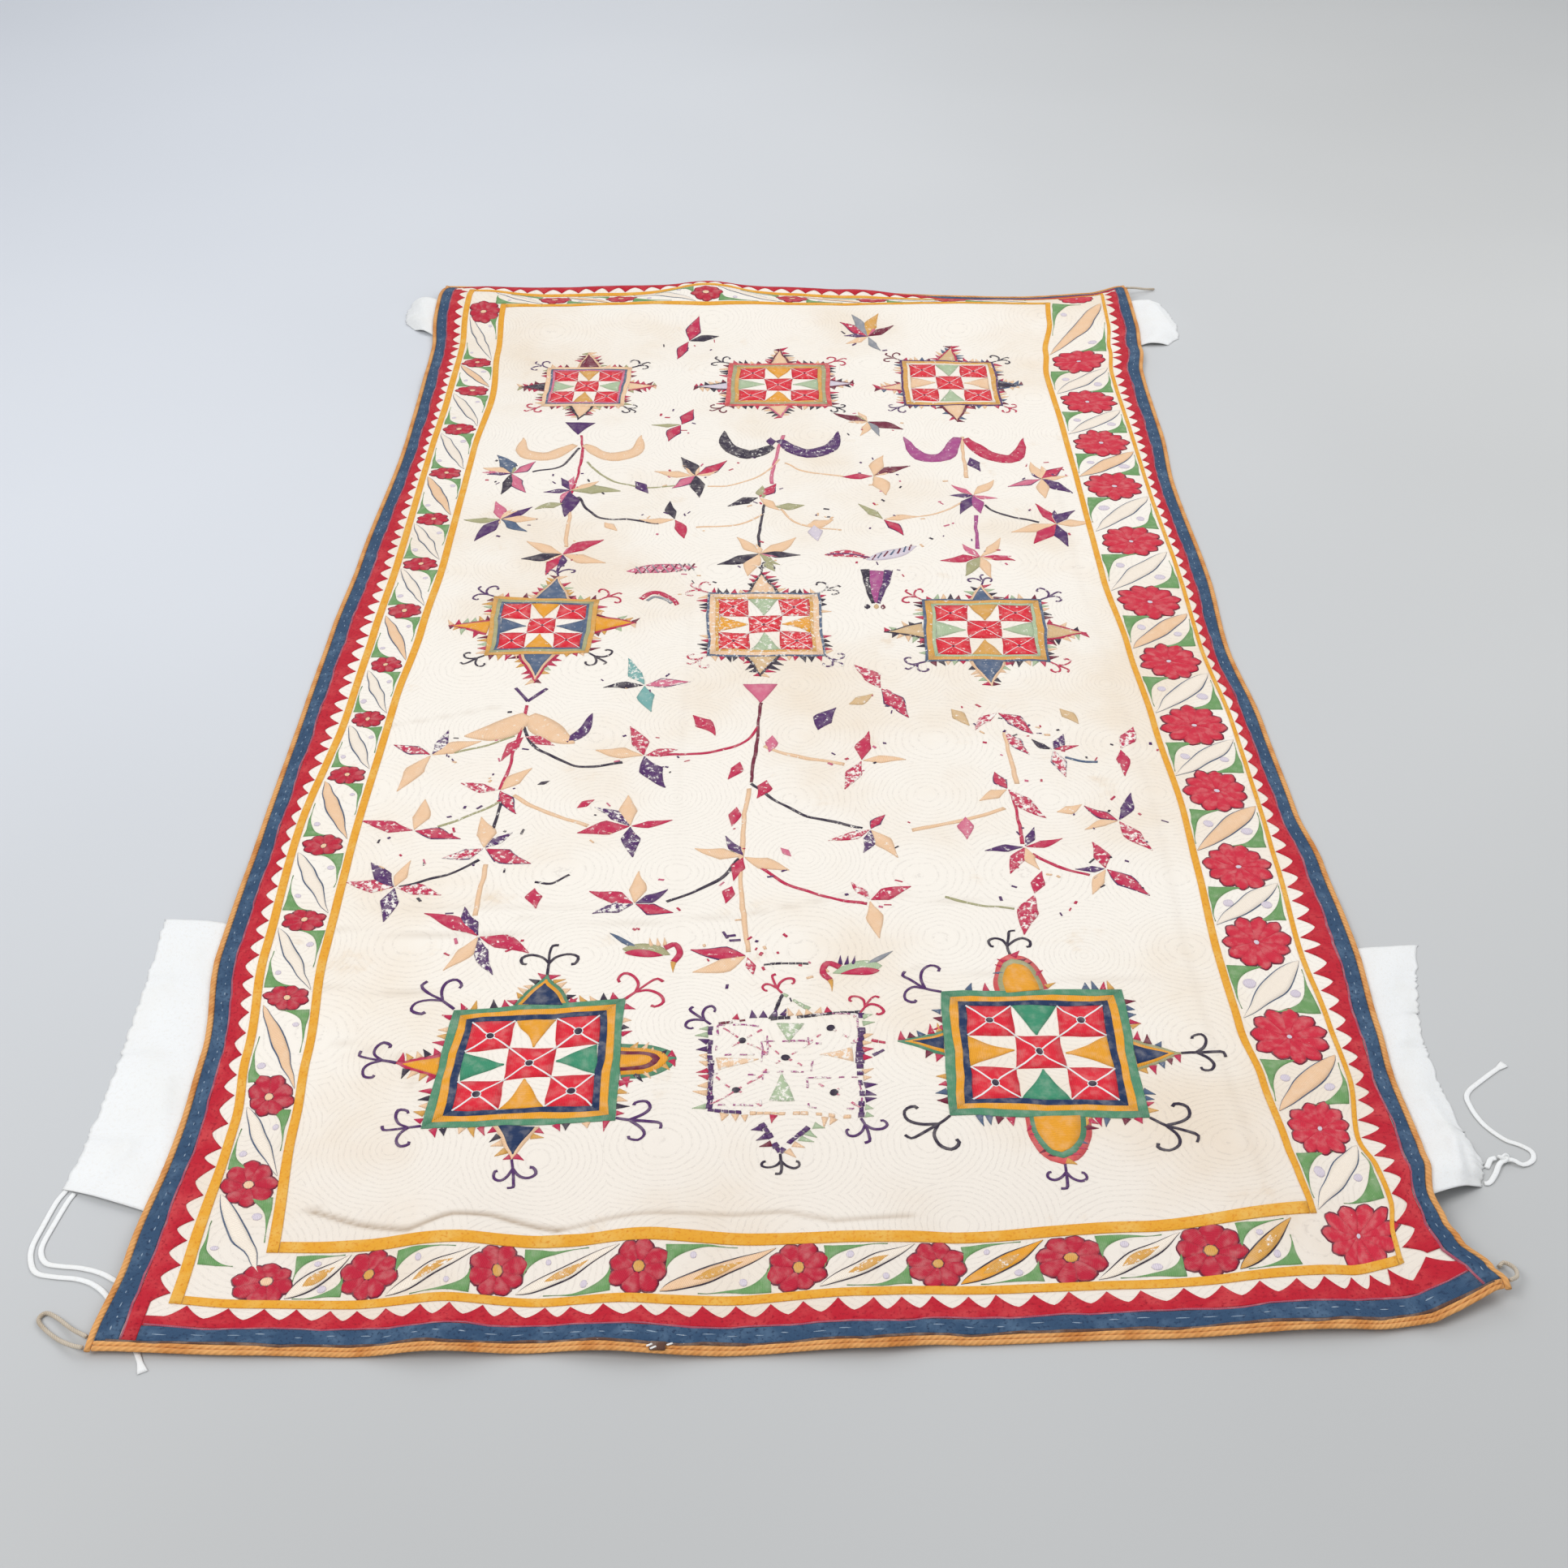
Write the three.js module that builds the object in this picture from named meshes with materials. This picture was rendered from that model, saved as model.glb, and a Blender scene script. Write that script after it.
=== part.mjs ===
// Quilted cotton hanging with sewn-on bands, tapes, flaps and ties, laid out face up on a floor.
// Millimetres: X across the cloth, Y along it towards the far end, Z up.
// The origin is on the floor under the middle of the cloth.

import * as THREE from "three";

// Driving dimensions
const CLOTH_WIDTH = 1344;
const CLOTH_LENGTH = 2600;
const CLOTH_THICK = 2;
const TRIM_THICK = 0.8;
const SEAM_GAP = 0.55;
const BUTT_GAP = 0.9;
const TOOTH_PITCH = 33;
const FLAP_THICK = 1.2;
const FLAP_TUCK = 50;
const FLAP_GAP = 0.85;
const FLAP_LIFT = 2.45;
const FLAP_MARGIN = 60;
const FLAP_RAMP = 90;
const TIE_WIDTH = 6;
const TIE_THICK = 2;
const LOOP_CORD = 4.4;
const KNOT = { across: 16, along: 14, tall: 8 };
const FIELD_COLUMNS = 20;
const FIELD_ROWS = 20;
const ROW_CROWDING = 0.38;
const STRAY_REACH = 320;
const WAVE_REACH = 110;

// Widths of the bands from each edge of the cloth inwards
const BANDS = {
  left: { blue: 19, red: 30, teeth: 16, outerTape: 11, flowers: 60, innerTape: 11 },
  right: { blue: 18, red: 27, teeth: 16, outerTape: 6, flowers: 99, innerTape: 9 },
  near: { blue: 20, red: 32, teeth: 18, outerTape: 11, flowers: 59, innerTape: 15 },
  far: { blue: 20, red: 26, teeth: 15, outerTape: 10, flowers: 68, innerTape: 12 },
};

// How far the cloth's edge and the border's inner edge stray outwards from the plain rectangle,
// and how far the outer tape strays from the line between them
const LEFT_STRAY = [
  { at: -1300, edge: 9, tape: 0, inner: -20 },
  { at: -1190, edge: -2, tape: 2, inner: -18 },
  { at: -1000, edge: -11, tape: -2, inner: -3 },
  { at: -905, edge: -9, tape: 4, inner: 3 },
  { at: -730, edge: 12, tape: 2, inner: 15 },
  { at: -500, edge: 11, tape: 8, inner: 18 },
  { at: -200, edge: 8, tape: -6, inner: 13 },
  { at: 0, edge: 6, tape: -3, inner: 2 },
  { at: 200, edge: -1, tape: 0, inner: -5 },
  { at: 590, edge: -13, tape: 8, inner: -5 },
  { at: 790, edge: -11, tape: 8, inner: -14 },
  { at: 1000, edge: -7, tape: 2, inner: -2 },
  { at: 1150, edge: 4, tape: 0, inner: 3 },
  { at: 1300, edge: 6, tape: 0, inner: 2 },
];
const RIGHT_STRAY = [
  { at: -1300, edge: 42, tape: -20, inner: 36 },
  { at: -1283, edge: 32, tape: -20, inner: 36 },
  { at: -1243, edge: 9, tape: -20, inner: 35 },
  { at: -1214, edge: 1, tape: -13, inner: 34 },
  { at: -1172, edge: -5, tape: 0, inner: 31 },
  { at: -1120, edge: 4, tape: -8, inner: 28 },
  { at: -1070, edge: 9, tape: -17, inner: 25 },
  { at: -955, edge: 5, tape: 0, inner: 18 },
  { at: -860, edge: 9, tape: -3, inner: 8 },
  { at: -730, edge: 15, tape: -13, inner: 5 },
  { at: -560, edge: 11, tape: -5, inner: 9 },
  { at: -450, edge: 0, tape: 4, inner: 11 },
  { at: -250, edge: -4, tape: 9, inner: 3 },
  { at: -50, edge: -17, tape: 10, inner: -5 },
  { at: 150, edge: -9, tape: 10, inner: -16 },
  { at: 450, edge: -15, tape: 9, inner: -17 },
  { at: 650, edge: -5, tape: 3, inner: -19 },
  { at: 885, edge: -4, tape: 2, inner: -24 },
  { at: 985, edge: 9, tape: 0, inner: -15 },
  { at: 1100, edge: 18, tape: 0, inner: 4 },
  { at: 1300, edge: 15, tape: 0, inner: 20 },
];
const NEAR_STRAY = [
  { at: -672, edge: 2, tape: 0, inner: 14 },
  { at: -550, edge: 6, tape: 5, inner: 16 },
  { at: -350, edge: 7, tape: 5, inner: 8 },
  { at: -230, edge: 3, tape: 7, inner: 11 },
  { at: -130, edge: 9, tape: 7, inner: 3 },
  { at: 75, edge: 3, tape: 0, inner: 8 },
  { at: 160, edge: -5, tape: 0, inner: 4 },
  { at: 350, edge: -12, tape: 3, inner: -11 },
  { at: 540, edge: -19, tape: 3, inner: -33 },
  { at: 615, edge: -26, tape: 0, inner: -36 },
  { at: 672, edge: -60, tape: 0, inner: -40 },
];
const FAR_STRAY = [
  { at: -672, edge: -10, tape: 0, inner: -24 },
  { at: -590, edge: -16, tape: 0, inner: -23 },
  { at: -450, edge: -22, tape: 0, inner: -22 },
  { at: -300, edge: -22, tape: 0, inner: -14 },
  { at: -150, edge: -19, tape: 0, inner: -28 },
  { at: 0, edge: -23, tape: 0, inner: -14 },
  { at: 120, edge: -38, tape: 0, inner: -16 },
  { at: 210, edge: -46, tape: 0, inner: -12 },
  { at: 300, edge: -52, tape: 0, inner: -9 },
  { at: 450, edge: -60, tape: 0, inner: -4 },
  { at: 600, edge: -48, tape: 0, inner: 0 },
  { at: 672, edge: -34, tape: 0, inner: 0 },
];

// Waves that lift the near border, each running back from the near edge
const NEAR_WAVES = [
  { at: -672, lift: 6 },
  { at: -560, lift: 4 },
  { at: -450, lift: 1 },
  { at: -350, lift: 12 },
  { at: -255, lift: 2 },
  { at: -165, lift: 11 },
  { at: -50, lift: 2 },
  { at: 80, lift: 9 },
  { at: 180, lift: 1 },
  { at: 330, lift: 1 },
  { at: 480, lift: 9 },
  { at: 590, lift: 4 },
  { at: 672, lift: 16 },
];

// The long ridge at the far end: where its crest is, its height and how far it runs out
const FAR_RIDGE = [
  { at: -672, crest: 1215, height: 23, front: 170, back: 95, lip: 3 },
  { at: -590, crest: 1212, height: 27, front: 190, back: 94, lip: 10 },
  { at: -460, crest: 1165, height: 26, front: 200, back: 140, lip: 14 },
  { at: -320, crest: 1168, height: 26, front: 200, back: 140, lip: 17 },
  { at: -150, crest: 1232, height: 38, front: 240, back: 80, lip: 14 },
  { at: 20, crest: 1172, height: 25, front: 200, back: 135, lip: 14 },
  { at: 170, crest: 1168, height: 25, front: 200, back: 135, lip: 15 },
  { at: 260, crest: 1168, height: 25, front: 200, back: 132, lip: 7 },
  { at: 330, crest: 1168, height: 25, front: 200, back: 130, lip: 0 },
  { at: 500, crest: 1176, height: 21, front: 200, back: 130, lip: 0 },
  { at: 590, crest: 1200, height: 16, front: 200, back: 120, lip: 0 },
  { at: 672, crest: 1262, height: 16, front: 210, back: 90, lip: 0 },
];
// The lip turned up along the far hem, its crest on the seam of blue and red
const LIP_CREST = 1278;
const LIP_FRONT = 42;
const LIP_BACK = 32;

// Single puckers along the sides
const PUCKERS = [
  { s: 672, t: -1140, height: 6, across: 120, along: 80 },
  { s: 672, t: 930, height: 6, across: 130, along: 130 },
  { s: -672, t: 850, height: 4, across: 110, along: 120 },
];

// White flaps: where each row leaves the cloth's edge, its outer end on the floor, and its arch
const FLAPS = [
  {
    name: "flap_near_left",
    side: -1,
    rows: [
      { at: -1122, outX: -772, outY: -1102, arch: 2 },
      { at: -1035, outX: -766, outY: -1030, arch: 1 },
      { at: -905, outX: -764, outY: -900, arch: 4 },
      { at: -770, outX: -767, outY: -768, arch: 1 },
      { at: -672, outX: -773, outY: -664, arch: 2 },
    ],
  },
  {
    name: "flap_near_right",
    side: 1,
    rows: [
      { at: -1172, outX: 738, outY: -1104, arch: 4 },
      { at: -1100, outX: 751, outY: -1072, arch: 9 },
      { at: -1050, outX: 742, outY: -1025, arch: 7 },
      { at: -985, outX: 736, outY: -965, arch: 4 },
      { at: -905, outX: 734, outY: -895, arch: 2 },
      { at: -845, outX: 741, outY: -838, arch: 1 },
      { at: -780, outX: 755, outY: -776, arch: 2 },
      { at: -724, outX: 772, outY: -718, arch: 1 },
    ],
  },
  {
    name: "flap_far_left",
    side: -1,
    rows: [
      { at: 1085, outX: -722, outY: 1095, arch: 3 },
      { at: 1120, outX: -742, outY: 1125, arch: 11 },
      { at: 1170, outX: -748, outY: 1170, arch: 13 },
      { at: 1207, outX: -744, outY: 1222, arch: 8 },
    ],
  },
  {
    name: "flap_far_right",
    side: 1,
    rows: [
      { at: 1015, outX: 744, outY: 1018, arch: 5 },
      { at: 1050, outX: 770, outY: 1050, arch: 13 },
      { at: 1110, outX: 777, outY: 1110, arch: 9 },
      { at: 1170, outX: 770, outY: 1165, arch: 12 },
      { at: 1207, outX: 760, outY: 1215, arch: 5 },
    ],
  },
];
const ARCH_STEPS = 4;

// Routes of the ties and cords: x, y and height of the centre line above the floor
const ROUTES = {
  tieLeftLong: [
    [-767.5, -1104, 1.2],
    [-773, -1120, 1.2],
    [-777.5, -1151, 1.2],
    [-780.5, -1180, 1.2],
    [-775, -1201, 1.2],
    [-765, -1213.5, 1.2],
    [-746, -1218, 1.2],
    [-722, -1221, 1.2],
    [-702, -1229, 1.2],
    [-683, -1246, 1.2],
    [-660, -1278, 1.2],
    [-640, -1308, 1.2],
    [-627, -1334, 1.2],
  ],
  tieLeftShort: [
    [-757.5, -1107.5, 1.2],
    [-761.5, -1120, 1.2],
    [-767, -1151, 1.2],
    [-770.5, -1176, 1.2],
    [-768, -1190, 1.2],
    [-759, -1201, 1.2],
    [-743, -1204.5, 1.2],
    [-722, -1207, 1.2],
    [-699, -1214, 1.2],
    [-675, -1228, 1.2],
  ],
  tieRightRoot: [
    [742.1, -1099, 1.2],
    [748, -1098, 1.4],
    [757, -1087, 2.4],
    [767, -1071.9, 4],
  ],
  tieRightSecond: [
    [750.6, -1077.3, 1.2],
    [754.5, -1071.5, 1.6],
    [758, -1066.5, 3],
    [763.4, -1065.5, 4],
  ],
  tieRightEnd: [
    [780.3, -1068, 4],
    [791, -1073.5, 2],
    [804, -1066, 1.2],
    [806.5, -1054, 1.2],
    [796, -1044, 1.2],
    [782, -1036, 1.2],
    [766, -1014, 1.2],
    [759, -988, 1.2],
    [761, -967, 1.2],
    [785, -945, 1.2],
    [816, -921, 1.2],
  ],
  loopNearLeft: [
    [-690.7, -1310, 8.2],
    [-703, -1305.5, 6],
    [-720, -1296, 3],
    [-737, -1283, 2.4],
    [-746, -1272, 2.4],
    [-741, -1264, 2.4],
    [-728, -1270, 2.6],
    [-709, -1285, 5],
    [-690.1, -1297, 8.2],
  ],
  loopNearRight: [
    [723.4, -1241.1, 18.4],
    [734, -1232, 13],
    [737, -1218, 8],
    [730, -1208, 5],
    [723, -1213, 4],
  ],
  stringFarRight: [
    [695.95, 1258, 17.4],
    [715, 1265, 14],
    [735, 1274, 8],
    [757, 1285, 3],
  ],
};
const KNOT_AT = [772, -1066, 4.2];

// Colours of the cloths
const COLOURS = {
  cream: 0xf2e8da,
  blue: 0x42607f,
  red: 0xc8303e,
  yellow: 0xeaa83a,
  orange: 0xd8924a,
  white: 0xf4f2ee,
  beige: 0xcdbea8,
};

const halfWidth = CLOTH_WIDTH / 2;
const halfLength = CLOTH_LENGTH / 2;
const group = new THREE.Group();

// Value of every named column of a table at a place between its rows
function between(rows, at) {
  const found = rows.findIndex((row) => row.at >= at);
  const last = found < 0 ? rows.length - 1 : Math.max(found, 1);
  const low = rows[last - 1];
  const high = rows[last];
  const share = THREE.MathUtils.smoothstep(at, low.at, high.at);
  const mixed = {};
  for (const key of Object.keys(low)) {
    mixed[key] = THREE.MathUtils.lerp(low[key], high[key], share);
  }
  return mixed;
}

function fade(distance, reach) {
  return 1 - THREE.MathUtils.smoothstep(distance, 0, reach);
}

function bell(share) {
  const clipped = THREE.MathUtils.clamp(share, -1, 1);
  return Math.cos((clipped * Math.PI) / 2) ** 2;
}

// Distances of the band lines from the edge of the cloth
function bandLines(bands) {
  const redBase = bands.blue + bands.red - bands.teeth;
  const redTip = bands.blue + bands.red;
  const flowerStart = redTip + bands.outerTape;
  const flowerEnd = flowerStart + bands.flowers;
  const inner = flowerEnd + bands.innerTape;
  return { blue: bands.blue, redBase, redTip, flowerStart, flowerEnd, inner };
}

const left = bandLines(BANDS.left);
const right = bandLines(BANDS.right);
const near = bandLines(BANDS.near);
const far = bandLines(BANDS.far);

function strayOf(row, distance, lines) {
  const { blue, redTip, flowerStart, flowerEnd, inner } = lines;
  if (distance >= inner) {
    return row.inner * fade(distance - inner, STRAY_REACH);
  }
  const rise = THREE.MathUtils.clamp((distance - blue) / (redTip - blue), 0, 1);
  const fall = THREE.MathUtils.clamp((flowerEnd - distance) / (flowerEnd - flowerStart), 0, 1);
  return THREE.MathUtils.lerp(row.edge, row.inner, distance / inner) + row.tape * rise * fall;
}

// Place on the floor of a point s across and t along the cloth
function plan(s, t) {
  const toLeft = strayOf(between(LEFT_STRAY, t), s + halfWidth, left);
  const toRight = strayOf(between(RIGHT_STRAY, t), halfWidth - s, right);
  const toNear = strayOf(between(NEAR_STRAY, s), t + halfLength, near);
  const toFar = strayOf(between(FAR_STRAY, s), halfLength - t, far);
  return [s - toLeft + toRight, t - toNear + toFar];
}

// Height of the underside of the cloth above the floor
function fold(s, t) {
  const ridge = between(FAR_RIDGE, s);
  const run = t < ridge.crest ? ridge.front : ridge.back;
  let height = ridge.height * bell((t - ridge.crest) / run);
  height += ridge.lip * bell((t - LIP_CREST) / (t < LIP_CREST ? LIP_FRONT : LIP_BACK));
  const past = Math.max(t + halfLength - near.inner, 0);
  height += between(NEAR_WAVES, s).lift * fade(past, WAVE_REACH);
  for (const pucker of PUCKERS) {
    height += pucker.height * bell((s - pucker.s) / pucker.across) * bell((t - pucker.t) / pucker.along);
  }
  for (const flap of FLAPS) {
    const first = flap.rows[0].at - FLAP_MARGIN;
    const last = flap.rows[flap.rows.length - 1].at + FLAP_MARGIN;
    const outside = Math.max(first - t, t - last, 0);
    const inside = halfWidth - flap.side * s;
    height += FLAP_LIFT * fade(outside, FLAP_RAMP) * fade(inside - FLAP_TUCK, FLAP_RAMP);
  }
  return height;
}

function fromEdge(lines, edge, inwards) {
  const { blue, redTip, flowerStart, flowerEnd, inner } = lines;
  const flowerMiddle = (flowerStart + flowerEnd) / 2;
  const distances = [blue, redTip, flowerStart, flowerMiddle, flowerEnd, inner];
  return distances.map((distance) => edge + inwards * distance);
}

function fieldStations(low, high, count, crowding) {
  const stations = [];
  for (let k = 1; k < count; k += 1) {
    const u = -1 + (2 * k) / count;
    const warped = u + crowding * (u - u ** 3);
    stations.push((low + high) / 2 + ((high - low) / 2) * warped);
  }
  return stations;
}

function ascending(values) {
  return [...values].sort((a, b) => a - b);
}

const columns = ascending([
  -halfWidth,
  ...fromEdge(left, -halfWidth, 1),
  ...fieldStations(-halfWidth + left.inner, halfWidth - right.inner, FIELD_COLUMNS, 0),
  ...fromEdge(right, halfWidth, -1),
  halfWidth,
]);
const rows = ascending([
  -halfLength,
  ...fromEdge(near, -halfLength, 1),
  ...fieldStations(-halfLength + near.inner, halfLength - far.inner, FIELD_ROWS, ROW_CROWDING),
  ...fromEdge(far, halfLength, -1),
  halfLength,
]);

// Underside of the cloth at every crossing of the rows and columns
const underside = rows.map((t) =>
  columns.map((s) => {
    const [x, y] = plan(s, t);
    return new THREE.Vector3(x, y, fold(s, t));
  }),
);

function spanOf(lines, value) {
  let span = 0;
  while (span < lines.length - 2 && lines[span + 1] <= value) {
    span += 1;
  }
  return span;
}

// Whether a cell's crease runs from its first corner to the opposite one: always the lower diagonal,
// so that each crease is a valley and a strip sewn across it clears the cloth
function creasedAcross(i, j) {
  const across = underside[i][j].z + underside[i + 1][j + 1].z;
  return across <= underside[i][j + 1].z + underside[i + 1][j].z;
}

// Point of the underside's own facets at s and t, raised by a height
function onCloth(s, t, raise) {
  const i = spanOf(rows, t);
  const j = spanOf(columns, s);
  const a = (s - columns[j]) / (columns[j + 1] - columns[j]);
  const b = (t - rows[i]) / (rows[i + 1] - rows[i]);
  const corners = [underside[i][j], underside[i][j + 1], underside[i + 1][j], underside[i + 1][j + 1]];
  const weights = creasedAcross(i, j)
    ? [1 - Math.max(a, b), Math.max(a - b, 0), Math.max(b - a, 0), Math.min(a, b)]
    : [Math.max(1 - a - b, 0), Math.min(a, 1 - b), Math.min(b, 1 - a), Math.max(a + b - 1, 0)];
  const point = new THREE.Vector3(0, 0, raise);
  corners.forEach((corner, k) => point.addScaledVector(corner, weights[k]));
  return point;
}

function addSolid(name, points, faces, colour) {
  const geometry = new THREE.BufferGeometry();
  geometry.setFromPoints(points);
  geometry.setIndex(faces.flat());
  addMesh(name, geometry, colour);
}

function addMesh(name, geometry, colour) {
  const material = new THREE.MeshStandardMaterial({ color: colour, roughness: 0.9 });
  geometry.computeVertexNormals();
  const mesh = new THREE.Mesh(geometry, material);
  mesh.name = name;
  group.add(mesh);
}

// Closed sheet between a lower and an upper net of points, both with rows along Y and columns along X
function addSheet(name, lower, upper, colour, across = () => true) {
  const rowCount = lower.length;
  const columnCount = lower[0].length;
  const half = rowCount * columnCount;
  const points = [...lower.flat(), ...upper.flat()];
  const faces = [];
  const low = (i, j) => i * columnCount + j;
  const top = (i, j) => half + low(i, j);
  for (let i = 0; i < rowCount - 1; i += 1) {
    for (let j = 0; j < columnCount - 1; j += 1) {
      const corners = [[i, j], [i, j + 1], [i + 1, j + 1], [i + 1, j]];
      if (!across(i, j)) {
        corners.push(corners.shift());
      }
      const [p, q, r, s] = corners;
      faces.push([top(...p), top(...q), top(...r)]);
      faces.push([top(...p), top(...r), top(...s)]);
      faces.push([low(...p), low(...r), low(...q)]);
      faces.push([low(...p), low(...s), low(...r)]);
    }
  }
  const wall = (p, q, pTop, qTop) => {
    faces.push([p, q, qTop]);
    faces.push([p, qTop, pTop]);
  };
  const lastRow = rowCount - 1;
  const lastColumn = columnCount - 1;
  for (let j = 0; j < lastColumn; j += 1) {
    wall(low(0, j), low(0, j + 1), top(0, j), top(0, j + 1));
    wall(low(lastRow, j + 1), low(lastRow, j), top(lastRow, j + 1), top(lastRow, j));
  }
  for (let i = 0; i < lastRow; i += 1) {
    wall(low(i + 1, 0), low(i, 0), top(i + 1, 0), top(i, 0));
    wall(low(i, lastColumn), low(i + 1, lastColumn), top(i, lastColumn), top(i + 1, lastColumn));
  }
  addSolid(name, points, faces, colour);
}

// Strip sewn on the cloth, given as a net of places s and t
function addStrip(name, net, gap, colour) {
  const base = CLOTH_THICK + gap;
  const lower = net.map((row) => row.map(([s, t]) => onCloth(s, t, base)));
  const upper = net.map((row) => row.map(([s, t]) => onCloth(s, t, base + TRIM_THICK)));
  addSheet(name, lower, upper, colour);
}

function stationsWithin(lines, from, to) {
  const inside = lines.filter((value) => value > from + 1 && value < to - 1);
  return [from, ...inside, to];
}

function addSideStrip(name, sLow, sHigh, tFrom, tTo, colour) {
  const net = stationsWithin(rows, tFrom, tTo).map((t) => [
    [sLow, t],
    [sHigh, t],
  ]);
  addStrip(name, net, SEAM_GAP, colour);
}

function addEndStrip(name, tLow, tHigh, sFrom, sTo, colour) {
  const stations = stationsWithin(columns, sFrom, sTo);
  addStrip(name, [stations.map((s) => [s, tLow]), stations.map((s) => [s, tHigh])], SEAM_GAP, colour);
}

// Depth of the teeth at a place along a strip, plain beyond the first and last tooth
function toothDepth(at, from, to, depth) {
  const count = Math.round((to - from) / TOOTH_PITCH);
  const phase = ((at - from) / (to - from)) * count;
  if (phase <= 0 || phase >= count) {
    return 0;
  }
  return depth * (1 - Math.abs(2 * (phase - Math.floor(phase)) - 1));
}

function toothStations(from, to, plainFrom, plainTo, lines) {
  const count = Math.round((to - from) / TOOTH_PITCH);
  const stations = [plainFrom, plainTo];
  for (let k = 0; k <= 2 * count; k += 1) {
    stations.push(from + ((to - from) * k) / (2 * count));
  }
  stations.push(...lines.filter((value) => value > plainFrom && value < plainTo));
  const sorted = ascending(stations);
  return sorted.filter((value, k) => k === 0 || value - sorted[k - 1] > 0.6);
}

// The quilted ground
const upside = underside.map((row) => row.map((p) => new THREE.Vector3(p.x, p.y, p.z + CLOTH_THICK)));
addSheet("ground_cloth", underside, upside, COLOURS.cream, creasedAcross);

// Blue bands: the side strips run through, the end strips butt between them
const leftEdge = -halfWidth;
const rightEdge = halfWidth;
const nearEdge = -halfLength;
const farEdge = halfLength;
const redLeftEnd = leftEdge + left.redBase + BUTT_GAP;
const blueRightEnd = rightEdge - right.blue - BUTT_GAP;
addSideStrip("blue_left", leftEdge, leftEdge + left.blue, nearEdge, farEdge, COLOURS.blue);
addSideStrip("blue_right", rightEdge - right.blue, rightEdge, nearEdge, farEdge, COLOURS.blue);
addEndStrip("blue_near", nearEdge, nearEdge + near.blue, redLeftEnd, blueRightEnd, COLOURS.blue);
addEndStrip("blue_far", farEdge - far.blue, farEdge, redLeftEnd, blueRightEnd, COLOURS.blue);

// Red bands with teeth on the inner edge
function addRedSide(name, sBlue, inwards, lines, tPlain, tTeeth) {
  const depth = lines.redTip - lines.redBase - BUTT_GAP;
  const stations = toothStations(tTeeth[0], tTeeth[1], tPlain[0], tPlain[1], rows);
  const net = stations.map((t) => {
    const width = lines.redBase - lines.blue + toothDepth(t, tTeeth[0], tTeeth[1], depth);
    const pair = [
      [sBlue + inwards * BUTT_GAP, t],
      [sBlue + inwards * width, t],
    ];
    return inwards > 0 ? pair : pair.reverse();
  });
  addStrip(name, net, SEAM_GAP, COLOURS.red);
}
function addRedEnd(name, tBlue, inwards, lines, sPlain) {
  const depth = lines.redTip - lines.redBase - BUTT_GAP;
  const teeth = [leftEdge + left.redTip, blueRightEnd];
  const stations = toothStations(teeth[0], teeth[1], sPlain[0], sPlain[1], columns);
  const outer = stations.map((s) => [s, tBlue + inwards * BUTT_GAP]);
  const inner = stations.map((s) => {
    const width = lines.redBase - lines.blue + toothDepth(s, teeth[0], teeth[1], depth);
    return [s, tBlue + inwards * width];
  });
  addStrip(name, inwards > 0 ? [outer, inner] : [inner, outer], SEAM_GAP, COLOURS.red);
}
const nearTip = nearEdge + near.redTip;
const farTip = farEdge - far.redTip;
addRedSide("red_left", leftEdge + left.blue, 1, left, [nearEdge, farEdge], [nearTip, farTip]);
addRedSide("red_right", rightEdge - right.blue, -1, right, [nearTip + 1, farTip - 1], [nearTip + 1, farTip - 1]);
addRedEnd("red_near", nearEdge + near.blue, 1, near, [redLeftEnd, blueRightEnd]);
addRedEnd("red_far", farEdge - far.blue, -1, far, [redLeftEnd, blueRightEnd]);

// Outer and inner yellow tapes, the end lengths butting between the side lengths
function addTapes(name, from, to) {
  const sides = {
    left: [leftEdge + left[from], leftEdge + left[to]],
    right: [rightEdge - right[to], rightEdge - right[from]],
    near: [nearEdge + near[from], nearEdge + near[to]],
    far: [farEdge - far[to], farEdge - far[from]],
  };
  const across = [sides.left[1] + BUTT_GAP, sides.right[0] - BUTT_GAP];
  const along = [sides.near[0], sides.far[1]];
  addSideStrip(`${name}_left`, ...sides.left, ...along, COLOURS.yellow);
  addSideStrip(`${name}_right`, ...sides.right, ...along, COLOURS.yellow);
  addEndStrip(`${name}_near`, ...sides.near, ...across, COLOURS.yellow);
  addEndStrip(`${name}_far`, ...sides.far, ...across, COLOURS.yellow);
}
addTapes("outer_tape", "redTip", "flowerStart");
addTapes("inner_tape", "flowerEnd", "inner");

// Rolled edging: a section of distance outwards and height, carried along each edge
const ROLL = [
  { out: 0.4, up: 1.2 },
  { out: 2.2, up: 0 },
  { out: 6.2, up: 0 },
  { out: 7.8, up: 2.2 },
  { out: 5.4, up: 4.6 },
  { out: 1.6, up: 4.4 },
];
const ROLL_WIDTH = 7.8;
const NEAR_ROLL_WIDTH = 12;
function addRoll(name, edgePoints, outX, outY, width) {
  const widen = width / ROLL_WIDTH;
  const points = [];
  for (const p of edgePoints) {
    for (const corner of ROLL) {
      const out = corner.out * (corner.out > 1 ? widen : 1);
      points.push(new THREE.Vector3(p.x + outX * out, p.y + outY * out, p.z + corner.up));
    }
  }
  const sides = ROLL.length;
  const faces = [];
  for (let k = 0; k < edgePoints.length - 1; k += 1) {
    for (let n = 0; n < sides; n += 1) {
      const here = k * sides + n;
      const beside = k * sides + ((n + 1) % sides);
      faces.push([here, here + sides, beside + sides]);
      faces.push([here, beside + sides, beside]);
    }
  }
  const end = (edgePoints.length - 1) * sides;
  for (let n = 1; n < sides - 1; n += 1) {
    faces.push([0, n, n + 1]);
    faces.push([end, end + n + 1, end + n]);
  }
  const inward = outX < 0 || outY > 0;
  addSolid(name, points, inward ? faces.map((face) => [...face].reverse()) : faces, COLOURS.orange);
}
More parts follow.
